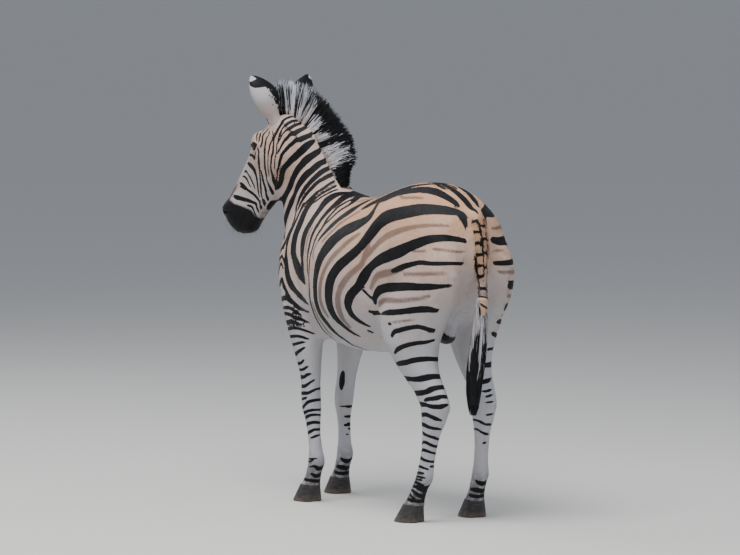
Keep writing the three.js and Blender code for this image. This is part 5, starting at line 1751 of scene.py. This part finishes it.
# %% The tail's locks
TAIL_WIDE = np.array([  # share of the tail's length: half width, half depth
    (0.30, 0.028, 0.024), (0.46, 0.025, 0.022), (0.54, 0.029, 0.025), (0.68, 0.038, 0.034),
    (0.80, 0.039, 0.035),
    (0.90, 0.036, 0.032), (0.97, 0.029, 0.026), (1.00, 0.018, 0.016),
])
HAIRS = 2000
STEPS = 12
start = 0.44 + 0.23 * rng.uniform(0, 1, HAIRS) ** 0.7
end = np.clip(rng.normal(0.93, 0.06, HAIRS), start + 0.15, 0.996)
end = np.where((start < 0.58) & (rng.uniform(0, 1, HAIRS) < 0.5), start + rng.uniform(0.05, 0.16, HAIRS), end)
angle = rng.uniform(-math.pi, math.pi, HAIRS)
at_side = np.where(rng.uniform(0, 1, HAIRS) < 0.5, 0.0, math.pi) + rng.normal(0, 0.42, HAIRS)
angle = np.where(start < 0.47, at_side, angle)
depth = np.sqrt(rng.uniform(0.05, 1.0, HAIRS))
depth = np.where(start < 0.52, rng.uniform(0.88, 1.0, HAIRS), depth)
share = start[:, None] + (end - start)[:, None] * np.linspace(0, 1, STEPS)[None]
spot, way = along_curve(TAIL_LINE, share.ravel())
spot, way = spot.reshape(HAIRS, STEPS, 3), way.reshape(HAIRS, STEPS, 3)
left_way = np.array([0, 1.0, 0]) - way * way[..., 1:2]
left_way /= np.linalg.norm(left_way, axis=-1, keepdims=True)
back_way = np.cross(way, left_way)
grow = np.interp(share, TAIL_WIDE[:, 0], TAIL_WIDE[:, 1]), np.interp(share, TAIL_WIDE[:, 0], TAIL_WIDE[:, 2])
run = np.linspace(0, 1, STEPS)[None]
hug = depth[:, None] * (1 - 0.25 * run**3) * (0.93 + 0.05 * np.sin(run * 7 + angle[:, None] * 3))
root_radius = np.interp(start, [0.44, 0.50, 0.54, 0.60], [0.88, 0.84, 0.72, 0.5])[:, None]
hug = root_radius * (1 - ease(run, 0, 0.3)) + hug * ease(run, 0, 0.3)
turn = angle[:, None] + 0.25 * np.sin(run * 4 + depth[:, None] * 9)
path = (spot + left_way * (grow[0] * hug * np.cos(turn))[..., None]
        + back_way * (grow[1] * hug * np.sin(turn))[..., None])
out = left_way * np.cos(turn)[..., None] + back_way * np.sin(turn)[..., None]
wide = np.cross(way, out)
widths = (0.0052 * rng.uniform(0.55, 1.2, HAIRS)[:, None]
          * np.interp(run, [0, 0.15, 0.7, 1], [0.5, 1.0, 0.8, 0.05]))
points, faces = blades(path, wide, out, widths, 0.35)
tail = make_piece("tail_locks", points, faces, COAT_HAIR)
streak = np.sin(angle * 5 + 1.3) + 0.8 * rng.normal(0, 1, HAIRS)
pale_end = np.clip(0.655 + 0.075 * streak, 0.52, 0.90)
black = (share - pale_end[:, None]) * 0.1
black = np.where(streak[:, None] < -1.1, 0.01, black)
dull = rng.normal(-0.10, 0.12, HAIRS) - 0.30 * (start < 0.56) * rng.uniform(0, 1, HAIRS)
set_fields(tail, black=np.repeat(black.ravel(), 3), tone=0.2, shade=np.repeat(dull, STEPS * 3))
hair_patch = np.stack([np.tile([-0.0015, 0.0015, 0.0], STEPS), np.repeat(np.linspace(0, 0.014, STEPS), 3)], 1)
set_patches(tail, np.stack([0.02 + 0.96 * (angle / (2 * math.pi) + 0.5), 0.02 + (start - 0.30) / 0.36 * 0.94],
                           1), hair_patch)

share = np.linspace(0.44, 0.955, 60)
spot, way = along_curve(TAIL_LINE, share)
left_way = np.array([0, 1.0, 0]) - way * way[:, 1:2]
back_way = np.cross(way, left_way)
turn = np.linspace(0, 2 * math.pi, 20, endpoint=False)[None]
width = np.interp(share, TAIL_WIDE[:, 0], TAIL_WIDE[:, 1])[:, None] * 0.72
width *= np.interp(share, [0.46, 0.54, 0.60], [1.22, 1.1, 1.0])[:, None]
width[[0, -1]] *= 0.05
points = (spot[:, None] + left_way[:, None] * (width * np.cos(turn))[..., None]
          + back_way[:, None] * (width * np.sin(turn))[..., None])
tail_core = make_piece("tail_core", points.reshape(-1, 3), grid_faces(60, 20), COAT_HAIR)
rungs = 0.0055 - np.abs((share * 0.845 + 0.012 * np.cos(turn[0][:, None]) + 0.02) % 0.041 - 0.0205).T
rungs = np.where(share[:, None] < 0.55, rungs, (share[:, None] - 0.57) * 0.1)
set_fields(tail_core, black=rungs.ravel(), tone=np.repeat(0.9 * (1 - ease(share, 0.50, 0.58)), 20),
           shade=-0.06)
for piece in (tail, tail_core):
    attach(piece, "root")
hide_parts("tail_hair")
print("tail:", HAIRS, "locks,", HAIRS * (STEPS - 1) * 6, "triangles")

# %% [markdown]
# ## Small hairs
#
# Short tufts cover the ears. Single strands make the pale hair in them, the lashes, the feelers round the
# mouth and the fringe that hangs over the top of each hoof.

# %% Short hair of the ears
EAR_TUFTS = 2600
for way, name in ((1, "left"), (-1, "right")):
    share = rng.uniform(0.02, 0.975, EAR_TUFTS)
    edge = rng.uniform(-1.0, 1.0, EAR_TUFTS)
    root, axis, length, front, across = ear_frame(way)
    spot = ear_sheet(way, share, edge)
    up_ear = ear_sheet(way, np.minimum(share + 0.01, 1.0), edge) - spot
    up_ear /= np.linalg.norm(up_ear, axis=1, keepdims=True)
    out = np.cross(up_ear, ear_sheet(way, share, edge + 0.01) - spot)
    out *= np.sign(((spot - root - axis * (share * length)[:, None]) * out).sum(1))[:, None]
    out /= np.linalg.norm(out, axis=1, keepdims=True)
    size = rng.uniform(0.7, 1.2, EAR_TUFTS)
    points, lean, faces = tufts(spot, out, up_ear, 0.0078 * size, 0.0021 * size, 0.0004 * size, rng)
    piece = make_piece(f"ear_{name}_coat", points, faces, COAT_HAIR)
    black = [ear_fields(way, np.minimum(share + k * size / length, 0.999), edge)
             for k in (0.0, 0.0033, 0.0070)]
    set_fields(piece, black=np.stack([black[k] for k in (0, 0, 0, 1, 1, 1, 2)], 1).ravel(),
               tone=np.repeat(0.42 - 0.35 * share, 7), shade=np.repeat(rng.normal(0, 0.04, EAR_TUFTS), 7))
    set_patches(piece, np.stack([0.51 + 0.47 * edge, 0.02 + 0.94 * share], 1), PATCH)
    lean_normals(piece, lean)
    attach(piece, "root")
print("ears:", 2 * EAR_TUFTS, "tufts,", 20 * EAR_TUFTS, "triangles")


# %% Strands
def strands(name, roots, ways, bends, lengths, width, **values):
    """Single hairs: root + way * length * s + bend * length * s * s, for s from 0 to 1."""
    run = np.linspace(0, 1, 6)[None, :, None]
    reach = lengths[:, None, None]
    path = roots[:, None] + ways[:, None] * reach * run + bends[:, None] * reach * run * run
    ahead = np.gradient(path, axis=1)
    ahead /= np.linalg.norm(ahead, axis=2, keepdims=True)
    side = np.cross(ahead, np.array([0.36, 0.48, 0.80]))
    side /= np.linalg.norm(side, axis=2, keepdims=True)
    widths = (width * np.array([0.8, 1.0, 1.0, 0.85, 0.6, 0.12])[None]
              * rng.uniform(0.8, 1.2, len(roots))[:, None])
    points, faces = blades(path, side, np.cross(side, ahead), widths, 0.6)
    piece = make_piece(name, points, faces, COAT_HAIR)
    set_fields(piece, **values)
    spots = rng.uniform(0.02, 0.98, (len(roots), 2))
    set_patches(piece, spots, np.stack([np.tile([-0.0012, 0.0012, 0.0], 6),
                                        np.repeat(np.linspace(0, 0.003, 6), 3)], 1))
    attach(piece, "root")
    print(f"{name}:", len(roots), "strands")


def on_skin(targets):
    """The skin's points nearest to these places, and their normals."""
    found = np.array([np.argmin(((place - target) ** 2).sum(1)) for target in targets])
    return place[found], skin_normals[found]


LASHES = 40
EAR_HAIRS = 300
for way, name in ((1, "left"), (-1, "right")):
    centre, look, front, rise = EYE_LOOK[way]
    upper = np.radians(np.linspace(25, 155, LASHES))
    targets = (centre + front * (0.0178 * np.cos(upper))[:, None]
               + rise * (0.0120 * np.sin(upper))[:, None] + look * 0.008)
    spot, out = on_skin(targets)
    ways = look * 0.95 - rise * 0.25 + front * (0.35 * np.cos(upper))[:, None]
    strands(f"lashes_{name}", spot - look * 0.001, ways, np.tile(rise * 0.22, (LASHES, 1)),
            rng.uniform(0.012, 0.019, LASHES), 0.0009,
            black=0.01)
    share = rng.uniform(0.10, 0.80, EAR_HAIRS)
    border = np.where(rng.uniform(0, 1, EAR_HAIRS) < 0.5, -1, 1)
    edge = border * rng.uniform(0.6, 0.96, EAR_HAIRS)
    root, axis, length, forth, across = ear_frame(way)
    spot = ear_sheet(way, share, edge, 0.0042)
    ways = (axis * 0.75 - across * (0.55 * np.sign(edge))[:, None] + forth * 0.18
            + rng.normal(0, 0.10, (EAR_HAIRS, 3)))
    strands(f"ear_{name}_hair", spot, ways, np.tile(axis * 0.25, (EAR_HAIRS, 1)),
            rng.uniform(0.014, 0.026, EAR_HAIRS), 0.0011,
            black=-0.03, tone=0.35)

# %% Feelers round the mouth, and the fringe over the hooves
FEELERS = 150
CORONET_HAIRS = 900
along, above, aside = head_place(place).T
mouth = np.nonzero((along > 0.445) & (above < 0.0) & (head_share(place) > 0.9))[0]
pick = rng.choice(mouth, FEELERS, replace=False)
ways = skin_normals[pick] * 0.9 + ALONG * 0.35
lengths = rng.uniform(0.008, 0.024, FEELERS)
strands("feelers", place[pick], ways, np.tile([0.0, 0.0, -0.35], (FEELERS, 1)), lengths, 0.0005, black=0.01)
band = np.nonzero((place[:, 2] > 0.066) & (place[:, 2] < 0.082))[0]
pick = rng.choice(band, CORONET_HAIRS)
ways = skin_normals[pick] * [0.35, 0.35, 0.0] - [0.0, 0.0, 0.95]
strands("coronet_fringe", place[pick] - skin_normals[pick] * 0.0008, ways, -skin_normals[pick] * 0.12,
        rng.uniform(0.006, 0.012, CORONET_HAIRS), 0.0013, black=-0.03, low=1.0, shade=-0.55)

# %% [markdown]
# ## The studio
#
# A pale floor, a broad soft light from above the camera's left, a weaker one from the right, and a
# grey sky.

# %% Floor, light and camera
bpy.ops.mesh.primitive_plane_add(size=4000, location=(0, 0, 0))
floor = bpy.context.object
floor.name = "floor"
s = Shader("floor")
floor.data.materials.append(s.finish(srgb(205, 203, 198), 0.9))


def soft_light(name, azimuth, elevation, distance, size, watts, aim=(0.07, 0.1, 0.9)):
    """A square soft light that faces the animal."""
    light = bpy.data.lights.new(name, "AREA")
    light.energy, light.size = watts, size
    lamp = bpy.data.objects.new(name, light)
    bpy.context.scene.collection.objects.link(lamp)
    a, e = math.radians(azimuth), math.radians(elevation)
    back = Vector((math.sin(a) * math.cos(e), -math.cos(a) * math.cos(e), math.sin(e)))
    lamp.location = Vector(aim) + back * distance
    lamp.rotation_euler = back.to_track_quat("Z", "Y").to_euler()


soft_light("key", 120, 62, 6.0, 4.0, 520)
soft_light("fill", 210, 30, 7.0, 5.0, 110)
soft_light("front", 20, 40, 7.0, 5.0, 190)
world = bpy.data.worlds.new("sky")
world.use_nodes = True
world.node_tree.nodes["Background"].inputs["Color"].default_value = (0.80, 0.87, 1.0, 1)
world.node_tree.nodes["Background"].inputs["Strength"].default_value = 0.45
bpy.context.scene.world = world

camera = bpy.data.objects.new("camera", bpy.data.cameras.new("camera"))
bpy.context.scene.collection.objects.link(camera)
CAMERA_AZIMUTH, CAMERA_ELEVATION, CAMERA_DISTANCE = math.radians(147), math.radians(4), 18.0
CAMERA_TARGET = Vector((0.0714, 0.1042, 0.9324))
back = Vector((math.sin(CAMERA_AZIMUTH) * math.cos(CAMERA_ELEVATION),
               -math.cos(CAMERA_AZIMUTH) * math.cos(CAMERA_ELEVATION), math.sin(CAMERA_ELEVATION)))
camera.location = CAMERA_TARGET + back * CAMERA_DISTANCE
camera.rotation_euler = back.to_track_quat("Z", "Y").to_euler()
camera.data.lens = 219
camera.data.sensor_width = 36
camera.data.clip_end = 5000
bpy.context.scene.camera = camera
